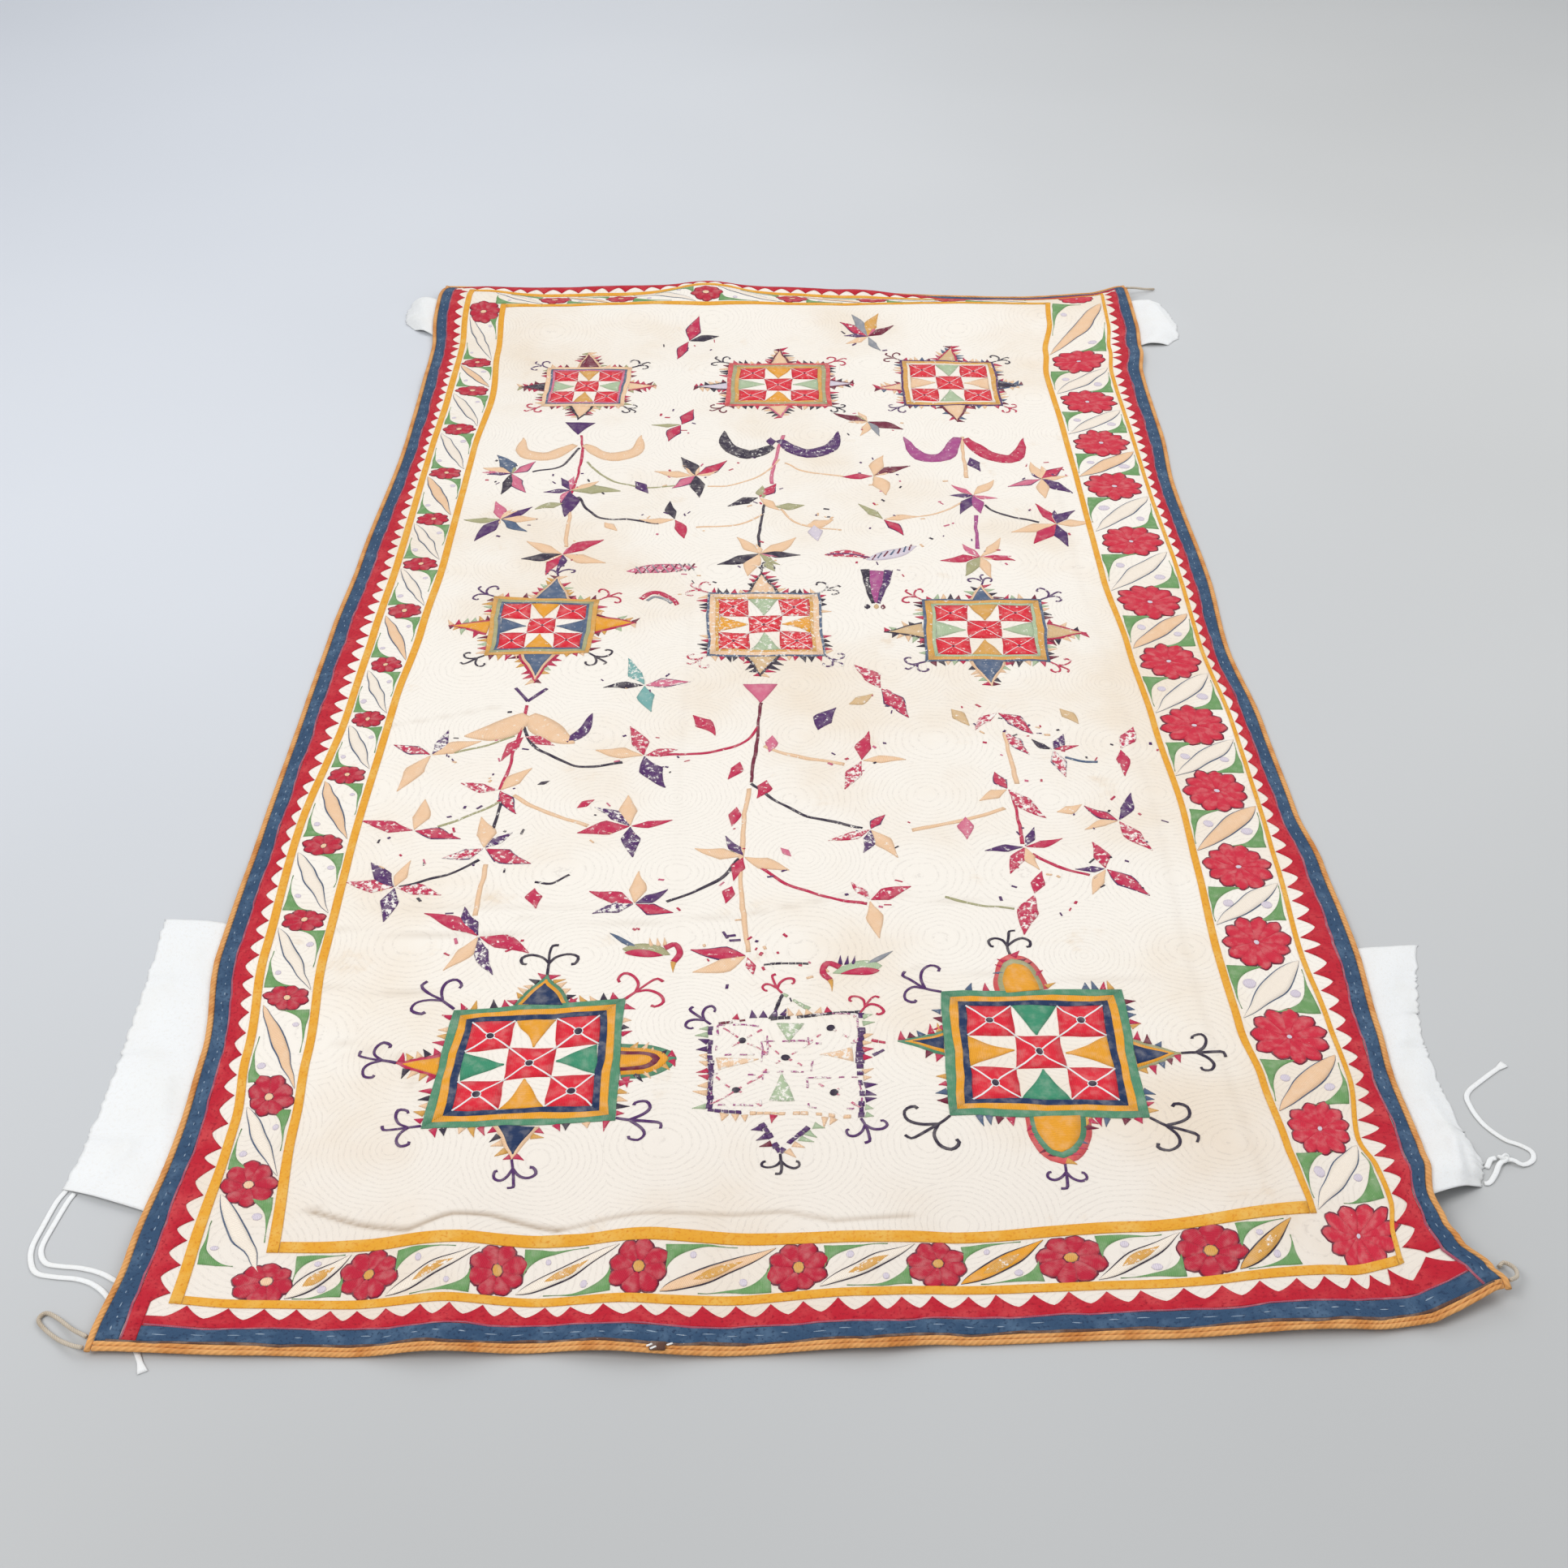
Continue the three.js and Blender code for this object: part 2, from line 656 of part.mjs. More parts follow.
function pastEnds(edgePoints) {
  const first = edgePoints[0].clone();
  const last = edgePoints[edgePoints.length - 1].clone();
  first.y -= NEAR_ROLL_WIDTH;
  last.y += ROLL_WIDTH;
  return [first, ...edgePoints, last];
}
const lastColumn = columns.length - 1;
addRoll("piping_left", pastEnds(underside.map((row) => row[0])), -1, 0, ROLL_WIDTH);
addRoll("piping_right", pastEnds(underside.map((row) => row[lastColumn])), 1, 0, ROLL_WIDTH);
addRoll("piping_near", underside[0], 0, -1, NEAR_ROLL_WIDTH);
addRoll("piping_far", underside[rows.length - 1], 0, 1, ROLL_WIDTH);

// White flaps, sewn along the underside and draped from the edge to the floor
for (const flap of FLAPS) {
  const first = flap.rows[0].at;
  const last = flap.rows[flap.rows.length - 1].at;
  const edge = flap.side * halfWidth;
  const lines = flap.side < 0 ? left : right;
  const sewn = [lines.redTip, lines.blue, 0].map((distance) => edge - flap.side * distance);
  const net = stationsWithin(rows, first, last).map((t) => {
    const row = between(flap.rows, t);
    const points = sewn.map((s) => onCloth(s, t, -FLAP_THICK - FLAP_GAP));
    const hem = points[points.length - 1];
    const start = new THREE.Vector3(hem.x + flap.side * ROLL_WIDTH, hem.y, hem.z);
    for (let k = 0; k <= ARCH_STEPS; k += 1) {
      const share = k / ARCH_STEPS;
      const x = THREE.MathUtils.lerp(start.x, row.outX, share);
      const y = THREE.MathUtils.lerp(start.y, row.outY, share);
      const drop = start.z * (1 - share);
      points.push(new THREE.Vector3(x, y, drop + row.arch * Math.sin(Math.PI * share)));
    }
    return points;
  });
  const lower = flap.side > 0 ? net : net.map((row) => [...row].reverse());
  const upper = lower.map((row) => row.map((p) => new THREE.Vector3(p.x, p.y, p.z + FLAP_THICK)));
  addSheet(flap.name, lower, upper, COLOURS.white);
}

// Ties and cords: an eight-sided section carried along each route
function addCord(name, route, wide, thick, steps, colour) {
  const section = new THREE.Shape();
  for (let k = 0; k < 8; k += 1) {
    const angle = (k * Math.PI) / 4;
    const corner = [(thick / 2) * Math.cos(angle), (wide / 2) * Math.sin(angle)];
    if (k === 0) {
      section.moveTo(...corner);
    } else {
      section.lineTo(...corner);
    }
  }
  section.closePath();
  const path = new THREE.CatmullRomCurve3(route.map((p) => new THREE.Vector3(...p)));
  const options = { steps, extrudePath: path, bevelEnabled: false };
  addMesh(name, new THREE.ExtrudeGeometry(section, options), colour);
}
addCord("tie_left_long", ROUTES.tieLeftLong, TIE_WIDTH, TIE_THICK, 20, COLOURS.white);
addCord("tie_left_short", ROUTES.tieLeftShort, TIE_WIDTH, TIE_THICK, 13, COLOURS.white);
addCord("tie_right_root", ROUTES.tieRightRoot, TIE_WIDTH, TIE_THICK, 4, COLOURS.white);
addCord("tie_right_second", ROUTES.tieRightSecond, TIE_WIDTH, TIE_THICK, 6, COLOURS.white);
addCord("tie_right_end", ROUTES.tieRightEnd, TIE_WIDTH, TIE_THICK, 24, COLOURS.white);
addCord("loop_near_left", ROUTES.loopNearLeft, LOOP_CORD, LOOP_CORD, 18, COLOURS.beige);
addCord("loop_near_right", ROUTES.loopNearRight, LOOP_CORD, LOOP_CORD, 8, COLOURS.beige);
addCord("string_far_right", ROUTES.stringFarRight, LOOP_CORD, LOOP_CORD, 6, COLOURS.beige);

// The knot of the right tie
const knot = new THREE.SphereGeometry(0.5, 8, 6);
knot.scale(KNOT.across, KNOT.along, KNOT.tall);
knot.translate(...KNOT_AT);
addMesh("tie_knot", knot, COLOURS.white);

export default group;
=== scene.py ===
import math

import bmesh
import bpy
import numpy as np
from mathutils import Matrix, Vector


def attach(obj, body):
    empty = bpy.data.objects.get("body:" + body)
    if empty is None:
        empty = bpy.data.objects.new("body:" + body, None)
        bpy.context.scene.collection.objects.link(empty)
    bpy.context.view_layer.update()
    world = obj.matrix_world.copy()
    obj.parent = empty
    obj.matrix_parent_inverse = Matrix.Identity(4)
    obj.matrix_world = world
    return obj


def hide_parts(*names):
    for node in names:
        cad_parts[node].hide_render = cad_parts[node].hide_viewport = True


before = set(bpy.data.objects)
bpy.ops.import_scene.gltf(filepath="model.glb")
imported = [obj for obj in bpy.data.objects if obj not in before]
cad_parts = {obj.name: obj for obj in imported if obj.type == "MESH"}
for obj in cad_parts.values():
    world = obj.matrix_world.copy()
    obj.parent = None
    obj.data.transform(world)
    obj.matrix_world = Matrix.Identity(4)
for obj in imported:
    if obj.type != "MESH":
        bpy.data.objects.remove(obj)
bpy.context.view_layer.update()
rng = np.random.default_rng(11)
mm = 0.001  # sizes are in millimetres, scaled as each mesh is made, unless a line says metres
scene = bpy.context.scene
print("frame:", len(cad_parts), "solids")


def linked(name, data):
    made = bpy.data.objects.new(name, data)
    scene.collection.objects.link(made)
    return made


# Camera at the photograph's place, in metres and degrees
camera = {"place": (-0.010, -2.515, 1.600), "down": 36.92, "turn": 0.21, "lens": 45.1, "sensor": 36.0}
cameraData = bpy.data.cameras.new("photoCamera")
cameraData.lens = camera["lens"]
cameraData.sensor_width = camera["sensor"]
cameraObject = linked("photoCamera", cameraData)
cameraObject.location = camera["place"]
cameraObject.rotation_euler = (math.radians(90 - camera["down"]), 0, math.radians(-camera["turn"]))
scene.camera = cameraObject

# The cloth as it lies: s runs across and t along the flat cloth
halfWidth, halfLength = 672, 1300
cloth = {
    "thick": 2,
    "columns": 140,
    "rows": 250,
    "fineRows": [(-1172, -1118, 3.0), (1230, 1300, 5.0)],  # t, where folds are tight
    "strayReach": 320,  # how far into the field a wandering border pulls
    "waveReach": 110,
    "creaseShadeReach": 0.42,  # reach of the painted crease shade, of a crease's width
    "findSteps": 14,
    "findShare": 0.8,
}
bands = {  # widths from the edge inwards
    "left": {"blue": 19, "red": 30, "teeth": 16, "outerTape": 11, "flowers": 60, "innerTape": 11},
    "right": {"blue": 18, "red": 27, "teeth": 16, "outerTape": 6, "flowers": 99, "innerTape": 9},
    "near": {"blue": 20, "red": 32, "teeth": 18, "outerTape": 11, "flowers": 59, "innerTape": 15},
    "far": {"blue": 20, "red": 26, "teeth": 15, "outerTape": 10, "flowers": 68, "innerTape": 12},
}
strays = {  # place along the edge, then how far out the edge, outer tape and inner tape wander
    "left": [
        (-1300, 9, 0, -20), (-1190, -2, 2, -18), (-1000, -11, -2, -3), (-905, -9, 4, 3), (-730, 12, 2, 15),
        (-500, 11, 8, 18), (-200, 8, -6, 13), (0, 6, -3, 2), (200, -1, 0, -5), (590, -13, 8, -5),
        (790, -11, 8, -14), (1000, -7, 2, -2), (1150, 4, 0, 3), (1300, 6, 0, 2),
    ],
    "right": [
        (-1300, 42, -20, 36), (-1283, 32, -20, 36), (-1243, 9, -20, 35), (-1214, 1, -13, 34),
        (-1172, -5, 0, 31), (-1120, 4, -8, 28), (-1070, 9, -17, 25), (-955, 5, 0, 18), (-860, 9, -3, 8),
        (-730, 15, -13, 5), (-560, 11, -5, 9), (-450, 0, 4, 11), (-250, -4, 9, 3), (-50, -17, 10, -5),
        (150, -9, 10, -16), (450, -15, 9, -17), (650, -5, 3, -19), (885, -4, 2, -24), (985, 9, 0, -15),
        (1100, 18, 0, 4), (1300, 15, 0, 20),
    ],
    "near": [
        (-672, 2, 0, 14), (-550, 6, 5, 16), (-350, 7, 5, 8), (-230, 3, 7, 11), (-130, 9, 7, 3),
        (75, 3, 0, 8), (160, -5, 0, 4), (350, -12, 3, -11), (540, -19, 3, -33), (615, -26, 0, -36),
        (672, -60, 0, -40),
    ],
    "far": [
        (-672, -10, 0, -24), (-590, -16, 0, -23), (-450, -22, 0, -22), (-300, -22, 0, -14),
        (-150, -19, 0, -28), (0, -23, 0, -14), (120, -38, 0, -16), (210, -46, 0, -12), (300, -52, 0, -9),
        (450, -60, 0, -4), (600, -48, 0, 0), (672, -34, 0, 0),
    ],
}
nearWaves = [  # s, lift of the near border
    (-672, 6), (-560, 4), (-450, 1), (-350, 12), (-255, 2), (-165, 11), (-50, 2), (80, 9), (180, 1),
    (330, 1), (480, 9), (590, 4), (672, 16),
]
farRidge = [  # s, crest's t, height, run in front of it, run behind it, lip of the hem
    (-672, 1215, 23, 170, 95, 3), (-590, 1212, 27, 190, 94, 10), (-460, 1165, 26, 200, 140, 14),
    (-320, 1168, 26, 200, 140, 17), (-150, 1232, 38, 240, 80, 14), (20, 1172, 25, 200, 135, 14),
    (170, 1168, 25, 200, 135, 15), (260, 1168, 25, 200, 132, 7), (330, 1168, 25, 200, 130, 0),
    (500, 1176, 21, 200, 130, 0), (590, 1200, 16, 200, 120, 0), (672, 1262, 16, 210, 90, 0),
]
farLip = {"crest": 1278, "front": 42, "back": 32}  # the far hem is turned up
puckers = [  # s, t, height, reach across, reach along
    (672, -1140, 6, 120, 80), (672, 930, 6, 130, 130), (-672, 850, 4, 110, 120),
]
flapCloth = {"thick": 1.2, "gap": 0.85, "lift": 2.45, "tuck": 50, "margin": 60, "ramp": 90}
flaps = {  # flat sizes in metres
    "flapNearLeft": {
        "side": -1, "flat": (0.142, 0.45),
        "rows": [  # t, free edge's x and y, arch
            (-1122, -772, -1102, 2), (-1035, -766, -1030, 1), (-905, -764, -900, 4), (-770, -767, -768, 1),
            (-672, -773, -664, 2),
        ],
        "wrinkles": [  # both ends on the floor, height, reach
            ((-737, -1092), (-714, -1045), 3.2, 8), ((-698, -954), (-678, -1051), 3.4, 10),
            ((-729, -989), (-673, -977), 2.2, 8), ((-752, -797), (-693, -777), 2.4, 9),
        ],
    },
    "flapNearRight": {
        "side": 1, "flat": (0.115, 0.448),
        "rows": [
            (-1172, 738, -1104, 4), (-1100, 751, -1072, 9), (-1050, 742, -1025, 7), (-985, 736, -965, 4),
            (-905, 734, -895, 2), (-845, 741, -838, 1), (-780, 755, -776, 2), (-724, 772, -718, 1),
        ],
        "wrinkles": [
            ((719, -1051), (714, -1100), 6.0, 8), ((737, -1045), (734, -1094), 5.0, 7),
            ((712, -982), (727, -1051), 3.4, 9), ((694, -795), (738, -835), 2.8, 9),
            ((688, -892), (735, -880), 2.4, 8),
        ],
    },
    "flapFarLeft": {
        "side": -1, "flat": (0.113, 0.122),
        "rows": [
            (1085, -722, 1095, 3), (1120, -742, 1125, 11), (1170, -748, 1170, 13), (1207, -744, 1222, 8),
        ],
        "wrinkles": [((-747, 1243), (-694, 1108), 3.0, 10)],
    },
    "flapFarRight": {
        "side": 1, "flat": (0.125, 0.192),
        "rows": [
            (1015, 744, 1018, 5), (1050, 770, 1050, 13), (1110, 777, 1110, 9), (1170, 770, 1165, 12),
            (1207, 760, 1215, 5),
        ],
        "wrinkles": [((732, 1192), (768, 1074), 4.0, 10)],
    },
}
creases = [  # height of two soft lips, their distance, strength of the painted shade along the crease, then the path over the cloth
    (3.2, 8, 0.9, (-515, -1122), (-463, -1142), (-405, -1156), (-360, -1140), (-314, -1139),
        (-236, -1156)),
    (2.0, 8, 0.5, (-236, -1156), (-199, -1147), (-147, -1143), (-60, -1139), (-4, -1134), (48, -1148),
        (130, -1142)),
    (0.9, 8, 0.28, (-540, -688), (-470, -694), (-380, -700), (-290, -690)),
    (1.0, 8, 0.3, (-545, -792), (-470, -798), (-395, -806)),
    (0.7, 8, 0.2, (-330, -668), (-180, -676), (-60, -662), (90, -620), (260, -640)),
    (0.7, 8, 0.16, (150, -760), (300, -776), (480, -786)),
    (0.6, 9, 0.08, (-140, -1120), (-138, -700), (-142, -300), (-140, 200)),
    (0.6, 9, 0.1, (480, -1120), (478, -600), (476, -100), (478, 500)),
    (0.7, 8, 0.2, (-540, -250), (-480, -232), (-400, -205)),
    (0.5, 9, 0.12, (-540, -640), (-350, -645), (-200, -640)),
    (0.8, 9, 0.2, (-520, -880), (-440, -905), (-415, -960)),
]
ripples = [  # waves across s and t per metre, phase: the quilting is uneven
    (7.1, 3.3, 0.0), (-4.7, 8.9, 1.3), (11.3, 1.7, 2.1), (2.9, -12.7, 0.6), (15.1, 9.7, 4.2),
]
rippleHeight = 0.26


def smooth(share):
    share = np.clip(share, 0, 1)
    return share * share * (3 - 2 * share)


def between(rows, at):
    table = np.array(rows, float)
    high = np.clip(np.searchsorted(table[:, 0], at), 1, len(table) - 1)
    before, after = table[high - 1], table[high]
    share = smooth((at - before[:, 0]) / (after[:, 0] - before[:, 0]))
    return (before + (after - before) * share[:, None]).T


def fade(distance, reach):
    return 1 - smooth(distance / reach)


def bell(share):
    return np.cos(np.clip(share, -1, 1) * math.pi / 2) ** 2


def linesOf(width):
    lines = {"blue": width["blue"], "redTip": width["blue"] + width["red"]}
    lines["redBase"] = lines["redTip"] - width["teeth"]
    lines["flowerStart"] = lines["redTip"] + width["outerTape"]
    lines["flowerEnd"] = lines["flowerStart"] + width["flowers"]
    lines["inner"] = lines["flowerEnd"] + width["innerTape"]
    return lines


lines = {side: linesOf(width) for side, width in bands.items()}


def strayOf(side, at, distance):
    line = lines[side]
    _, edge, tape, inner = between(strays[side], at)
    rise = np.clip((distance - line["blue"]) / (line["redTip"] - line["blue"]), 0, 1)
    fall = np.clip((line["flowerEnd"] - distance) / (line["flowerEnd"] - line["flowerStart"]), 0, 1)
    border = edge + (inner - edge) * distance / line["inner"] + tape * rise * fall
    field = inner * fade(distance - line["inner"], cloth["strayReach"])
    return np.where(distance < line["inner"], border, field)


def planOf(s, t):
    x = s - strayOf("left", t, s + halfWidth) + strayOf("right", t, halfWidth - s)
    y = t - strayOf("near", s, t + halfLength) + strayOf("far", s, halfLength - t)
    return x, y


def foldOf(s, t):
    _, crest, height, front, back, lip = between(farRidge, s)
    fold = height * bell((t - crest) / np.where(t < crest, front, back))
    pastLip = t - farLip["crest"]
    fold = fold + lip * bell(pastLip / np.where(pastLip < 0, farLip["front"], farLip["back"]))
    past = np.maximum(t + halfLength - lines["near"]["inner"], 0)
    fold = fold + between(nearWaves, s)[1] * fade(past, cloth["waveReach"])
    for atS, atT, height, across, along in puckers:
        fold = fold + height * bell((s - atS) / across) * bell((t - atT) / along)
    for flap in flaps.values():
        first = flap["rows"][0][0] - flapCloth["margin"]
        last = flap["rows"][-1][0] + flapCloth["margin"]
        outside = np.maximum(np.maximum(first - t, t - last), 0)
        inside = halfWidth - flap["side"] * s - flapCloth["tuck"]
        fold = fold + flapCloth["lift"] * fade(outside, flapCloth["ramp"]) * fade(inside, flapCloth["ramp"])
    return fold


def pathDistance(s, t, path):
    nearest = np.full(len(s), 1e9)
    for (s0, t0), (s1, t1) in zip(path, path[1:]):
        runS, runT = s1 - s0, t1 - t0
        share = np.clip(((s - s0) * runS + (t - t0) * runT) / (runS**2 + runT**2), 0, 1)
        nearest = np.minimum(nearest, np.hypot(s - s0 - share * runS, t - t0 - share * runT))
    return nearest


def reliefOf(s, t):
    relief = np.full(len(s), rippleHeight * len(ripples) / 2)
    for acrossWaves, alongWaves, phase in ripples:
        turn = 2 * math.pi * mm * (s * acrossWaves + t * alongWaves) + phase
        relief += rippleHeight * np.sin(turn) / 2
    for height, width, _, *path in creases:
        share = pathDistance(s, t, path) / width
        relief += height * share * np.exp(1 - share)
    return relief


# painted shade: a darker line along each crease, where the fold's shadow falls
def creaseShadeOf(s, t):
    soil = np.zeros(len(s))
    for _, width, depth, *path in creases:
        share = pathDistance(s, t, path) / (cloth["creaseShadeReach"] * width)
        soil += depth * np.exp(-share * share)
    return np.clip(soil, 0, 1)


def clothPoints(s, t, raised):
    x, y = planOf(s, t)
    return np.stack([x, y, foldOf(s, t) + reliefOf(s, t) + cloth["thick"] + raised], axis=1)


def clothAt(x, y):  # the cloth's own s and t under a place on the floor
    s, t = x.copy(), y.copy()
    for _ in range(cloth["findSteps"]):
        nowX, nowY = planOf(s, t)
        s += cloth["findShare"] * (x - nowX)
        t += cloth["findShare"] * (y - nowY)
    return s, t


uprights = ("left", "right")


def borderPlace(side, along, distance):  # s and t of a place along a side, measured from its edge
    half = halfWidth if side in uprights else halfLength
    crosswise = distance - half if side in ("left", "near") else half - distance
    return (crosswise, along) if side in uprights else (along, crosswise)


# Making pieces: a bmesh grid laid by a function of its two stations
def gridPiece(name, across, along, place, closed=False):
    across, along = np.asarray(across, float), np.asarray(along, float)
    bm = bmesh.new()
    bmesh.ops.create_grid(bm, x_segments=len(across) - 1, y_segments=len(along) - 1, size=1)
    bm.verts.ensure_lookup_table()
    flat = np.array([vert.co[:2] for vert in bm.verts])
    column = np.rint((flat[:, 0] + 1) / 2 * (len(across) - 1)).astype(int)
    row = np.rint((flat[:, 1] + 1) / 2 * (len(along) - 1)).astype(int)
    points, uv = place(across[column], along[row])
    layer = bm.loops.layers.uv.new("cloth")
    for vert, point in zip(bm.verts, points * mm):
        vert.co = point
    for face in bm.faces:
        face.smooth = True
        for loop in face.loops:
            loop[layer].uv = uv[loop.vert.index] * mm
    if closed:  # roll the grid into a tube, weld its seam and cap its ends
        bmesh.ops.remove_doubles(bm, verts=bm.verts, dist=1e-6)
        bmesh.ops.holes_fill(bm, edges=[edge for edge in bm.edges if edge.is_boundary])
        bmesh.ops.recalc_face_normals(bm, faces=bm.faces)
    mesh = bpy.data.meshes.new(name)
    bm.to_mesh(mesh)
    bm.free()
    return linked(name, mesh)


def thicken(piece, thick):
    solid = piece.modifiers.new("thick", "SOLIDIFY")
    solid.thickness = thick * mm
    solid.offset = -1


def nodeOf(name):  # the frame's name for a piece
    return "".join("_" + letter.lower() if letter.isupper() else letter for letter in name)


def settle(piece, slot, *nodes, material=None):
    piece.data.materials.append(material or materials[slot])
    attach(piece, "root")
    if nodes:
        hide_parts(*nodes)
    return piece


# Materials: procedural, on each piece's own map in metres
def linear(colour):
    share = np.array(colour, float) / 255
    return tuple(np.where(share <= 0.04045, share / 12.92, ((share + 0.055) / 1.055) ** 2.4))


def shade(colour):
    return (*linear(colour), 1.0)


def node(tree, kind, inputs, **settings):
    made = tree.nodes.new("ShaderNode" + kind)
    for key, value in settings.items():
        setattr(made, key, value)
    for key, value in inputs.items():
        if isinstance(value, bpy.types.NodeSocket):
            tree.links.new(value, made.inputs[key])
        else:
            made.inputs[key].default_value = value
    return made


def newMaterial(name, roughness, sheen):
    material = bpy.data.materials.new(name)
    material.use_nodes = True
    inputs = material.node_tree.nodes["Principled BSDF"].inputs
    inputs["Roughness"].default_value = roughness
    inputs["Specular IOR Level"].default_value = 0.18
    inputs["Sheen Weight"].default_value = sheen
    inputs["Sheen Roughness"].default_value = 0.6
    return material, material.node_tree


def finished(material, colour, normal=None):
    tree = material.node_tree
    shader = tree.nodes["Principled BSDF"]
    tree.links.new(colour, shader.inputs["Base Color"])
    if normal is not None:
        tree.links.new(normal, shader.inputs["Normal"])
    return material


def uvOf(tree):
    return node(tree, "UVMap", {}, uv_map="cloth").outputs["UV"]


def noiseOf(tree, where, scale, detail, rough=0.55):
    inputs = {"Vector": where, "Scale": scale, "Detail": detail, "Roughness": rough}
    return node(tree, "TexNoise", inputs).outputs["Fac"]


def rampOf(tree, value, low, high):  # a soft mask between two levels
    inputs = {"Value": value, "From Min": low, "From Max": high}
    return node(tree, "MapRange", inputs, interpolation_type="SMOOTHSTEP").outputs["Result"]


def cloudsOf(tree, where, scale, detail, low, high, rough=0.55):  # a soft mask from noise
    return rampOf(tree, noiseOf(tree, where, scale, detail, rough), low, high)


def mathOf(tree, operation, first, second=0.0):
    return node(tree, "Math", {0: first, 1: second}, operation=operation).outputs["Value"]


def timesOf(tree, first, second):
    return mathOf(tree, "MULTIPLY", first, second)


def mixOf(tree, share, first, second, blend="MIX"):
    inputs = {"Fac": share, "Color1": first, "Color2": second}
    return node(tree, "MixRGB", inputs, blend_type=blend).outputs["Color"]


def bumpOf(tree, height, strength, distance, under=None):
    inputs = {"Height": height, "Strength": strength, "Distance": distance}
    if under is not None:
        inputs["Normal"] = under
    return node(tree, "Bump", inputs).outputs["Normal"]


def grainOf(tree, colour, share, low, high=1.0):  # darkens a colour where the share is low
    grain = mixOf(tree, share, (low, low, low, 1), (high, high, high, 1))
    return mixOf(tree, 1.0, colour, grain, "MULTIPLY")


def waveOf(tree, where, pitch, distortion, direction="X", **detail):
    inputs = {"Vector": where, "Scale": 2 * math.pi / 20 / (pitch * mm), "Distortion": distortion}
    return node(tree, "TexWave", {**inputs, **detail}, bands_direction=direction).outputs["Fac"]


def weaveOf(tree, where, pitch):  # plain weave: two sets of threads, crossing
    return timesOf(tree, waveOf(tree, where, pitch, 0.6), waveOf(tree, where, pitch, 0.6, "Y"))


def cottonMaterial(name, colour, pale, dark, patch, pitch=1.1):
    material, tree = newMaterial(name, 0.9, 0.04)
    where = uvOf(tree)
    weave = weaveOf(tree, where, pitch)
    worked = mixOf(tree, cloudsOf(tree, where, patch, 5, 0.42, 0.72), shade(colour), shade(pale))
    worked = mixOf(tree, cloudsOf(tree, where, 260, 3, 0.5, 0.72), worked, shade(dark))
    rough = bumpOf(tree, noiseOf(tree, where, 140, 4), 0.5, 0.0012)
    return finished(material, grainOf(tree, worked, weave, 0.86), bumpOf(tree, weave, 0.4, 0.0004, rough))


groundLook = {
    "pale": (246, 238, 226), "stain": (239, 224, 204), "blot": (233, 214, 190), "stitch": (176, 166, 158),
    "soil": (178, 156, 132), "handled": (0.935, 0.915, 0.905, 1), "handledFrom": (-1.2, -0.8),
    "cells": 6.6, "rings": 24,
}


def groundMaterial():
    material, tree = newMaterial("quiltedCotton", 0.92, 0.05)
    where = uvOf(tree)
    weave = weaveOf(tree, where, 0.9)
    stain = cloudsOf(tree, where, 2.6, 6, 0.44, 0.7)
    worked = mixOf(tree, stain, shade(groundLook["pale"]), shade(groundLook["stain"]))
    worked = mixOf(tree, cloudsOf(tree, where, 9, 7, 0.6, 0.78, 0.65), worked, shade(groundLook["blot"]))
    handled = mixOf(tree, 1.0, worked, groundLook["handled"], "MULTIPLY")  # the near end is more soiled
    along = node(tree, "SeparateXYZ", {"Vector": where}).outputs["Y"]
    worked = mixOf(tree, rampOf(tree, along, *groundLook["handledFrom"]), handled, worked)
    cells = {"Vector": where, "Scale": groundLook["cells"], "Randomness": 0.4}
    distance = node(tree, "TexVoronoi", cells, feature="F1").outputs["Distance"]
    reach = mathOf(tree, "ADD", distance, timesOf(tree, noiseOf(tree, where, 30, 2), 0.05))
    ring = mathOf(tree, "SINE", timesOf(tree, reach, 2 * math.pi * groundLook["rings"]))
    dashes = timesOf(tree, rampOf(tree, ring, 0.86, 0.99), cloudsOf(tree, where, 210, 1, 0.47, 0.56))
    worked = mixOf(tree, timesOf(tree, dashes, 0.22), worked, shade(groundLook["stitch"]))
    # painted shade along the creases, mixed into the cloth's colour
    soil = node(tree, "Attribute", {}, attribute_name="soil").outputs["Fac"]
    worked = mixOf(tree, timesOf(tree, soil, 0.9), worked, shade(groundLook["soil"]))
    quilt = bumpOf(tree, mathOf(tree, "SUBTRACT", 1.0, rampOf(tree, ring, 0.55, 1.0)), 0.36, 0.0011)
    puff = bumpOf(tree, noiseOf(tree, where, 60, 4), 0.45, 0.0022, quilt)
    return finished(material, worked, bumpOf(tree, weave, 0.3, 0.0003, puff))


threadLook = {"pitch": 1.7, "faded": (250, 240, 226), "bare": (249, 242, 232)}


def threadMaterial():
    material, tree = newMaterial("silkThread", 0.75, 0.04)
    where = uvOf(tree)
    tint = node(tree, "Attribute", {}, attribute_name="thread").outputs["Color"]
    worn = node(tree, "Attribute", {}, attribute_name="worn").outputs["Fac"]
    rows = waveOf(tree, where, threadLook["pitch"], 2.5, **{"Detail": 2, "Detail Scale": 3})
    worked = grainOf(tree, tint, rows, 0.82, 1.04)
    lighter = mixOf(tree, 0.14, worked, shade(threadLook["faded"]))
    worked = mixOf(tree, cloudsOf(tree, where, 75, 4, 0.4, 0.75), worked, lighter)
    lost = mathOf(tree, "ADD", noiseOf(tree, where, 130, 5, 0.7), timesOf(tree, worn, 0.6))
    worked = mixOf(tree, rampOf(tree, lost, 0.7, 0.8), worked, shade(threadLook["bare"]))
    return finished(material, worked, bumpOf(tree, rows, 0.5, 0.0005))


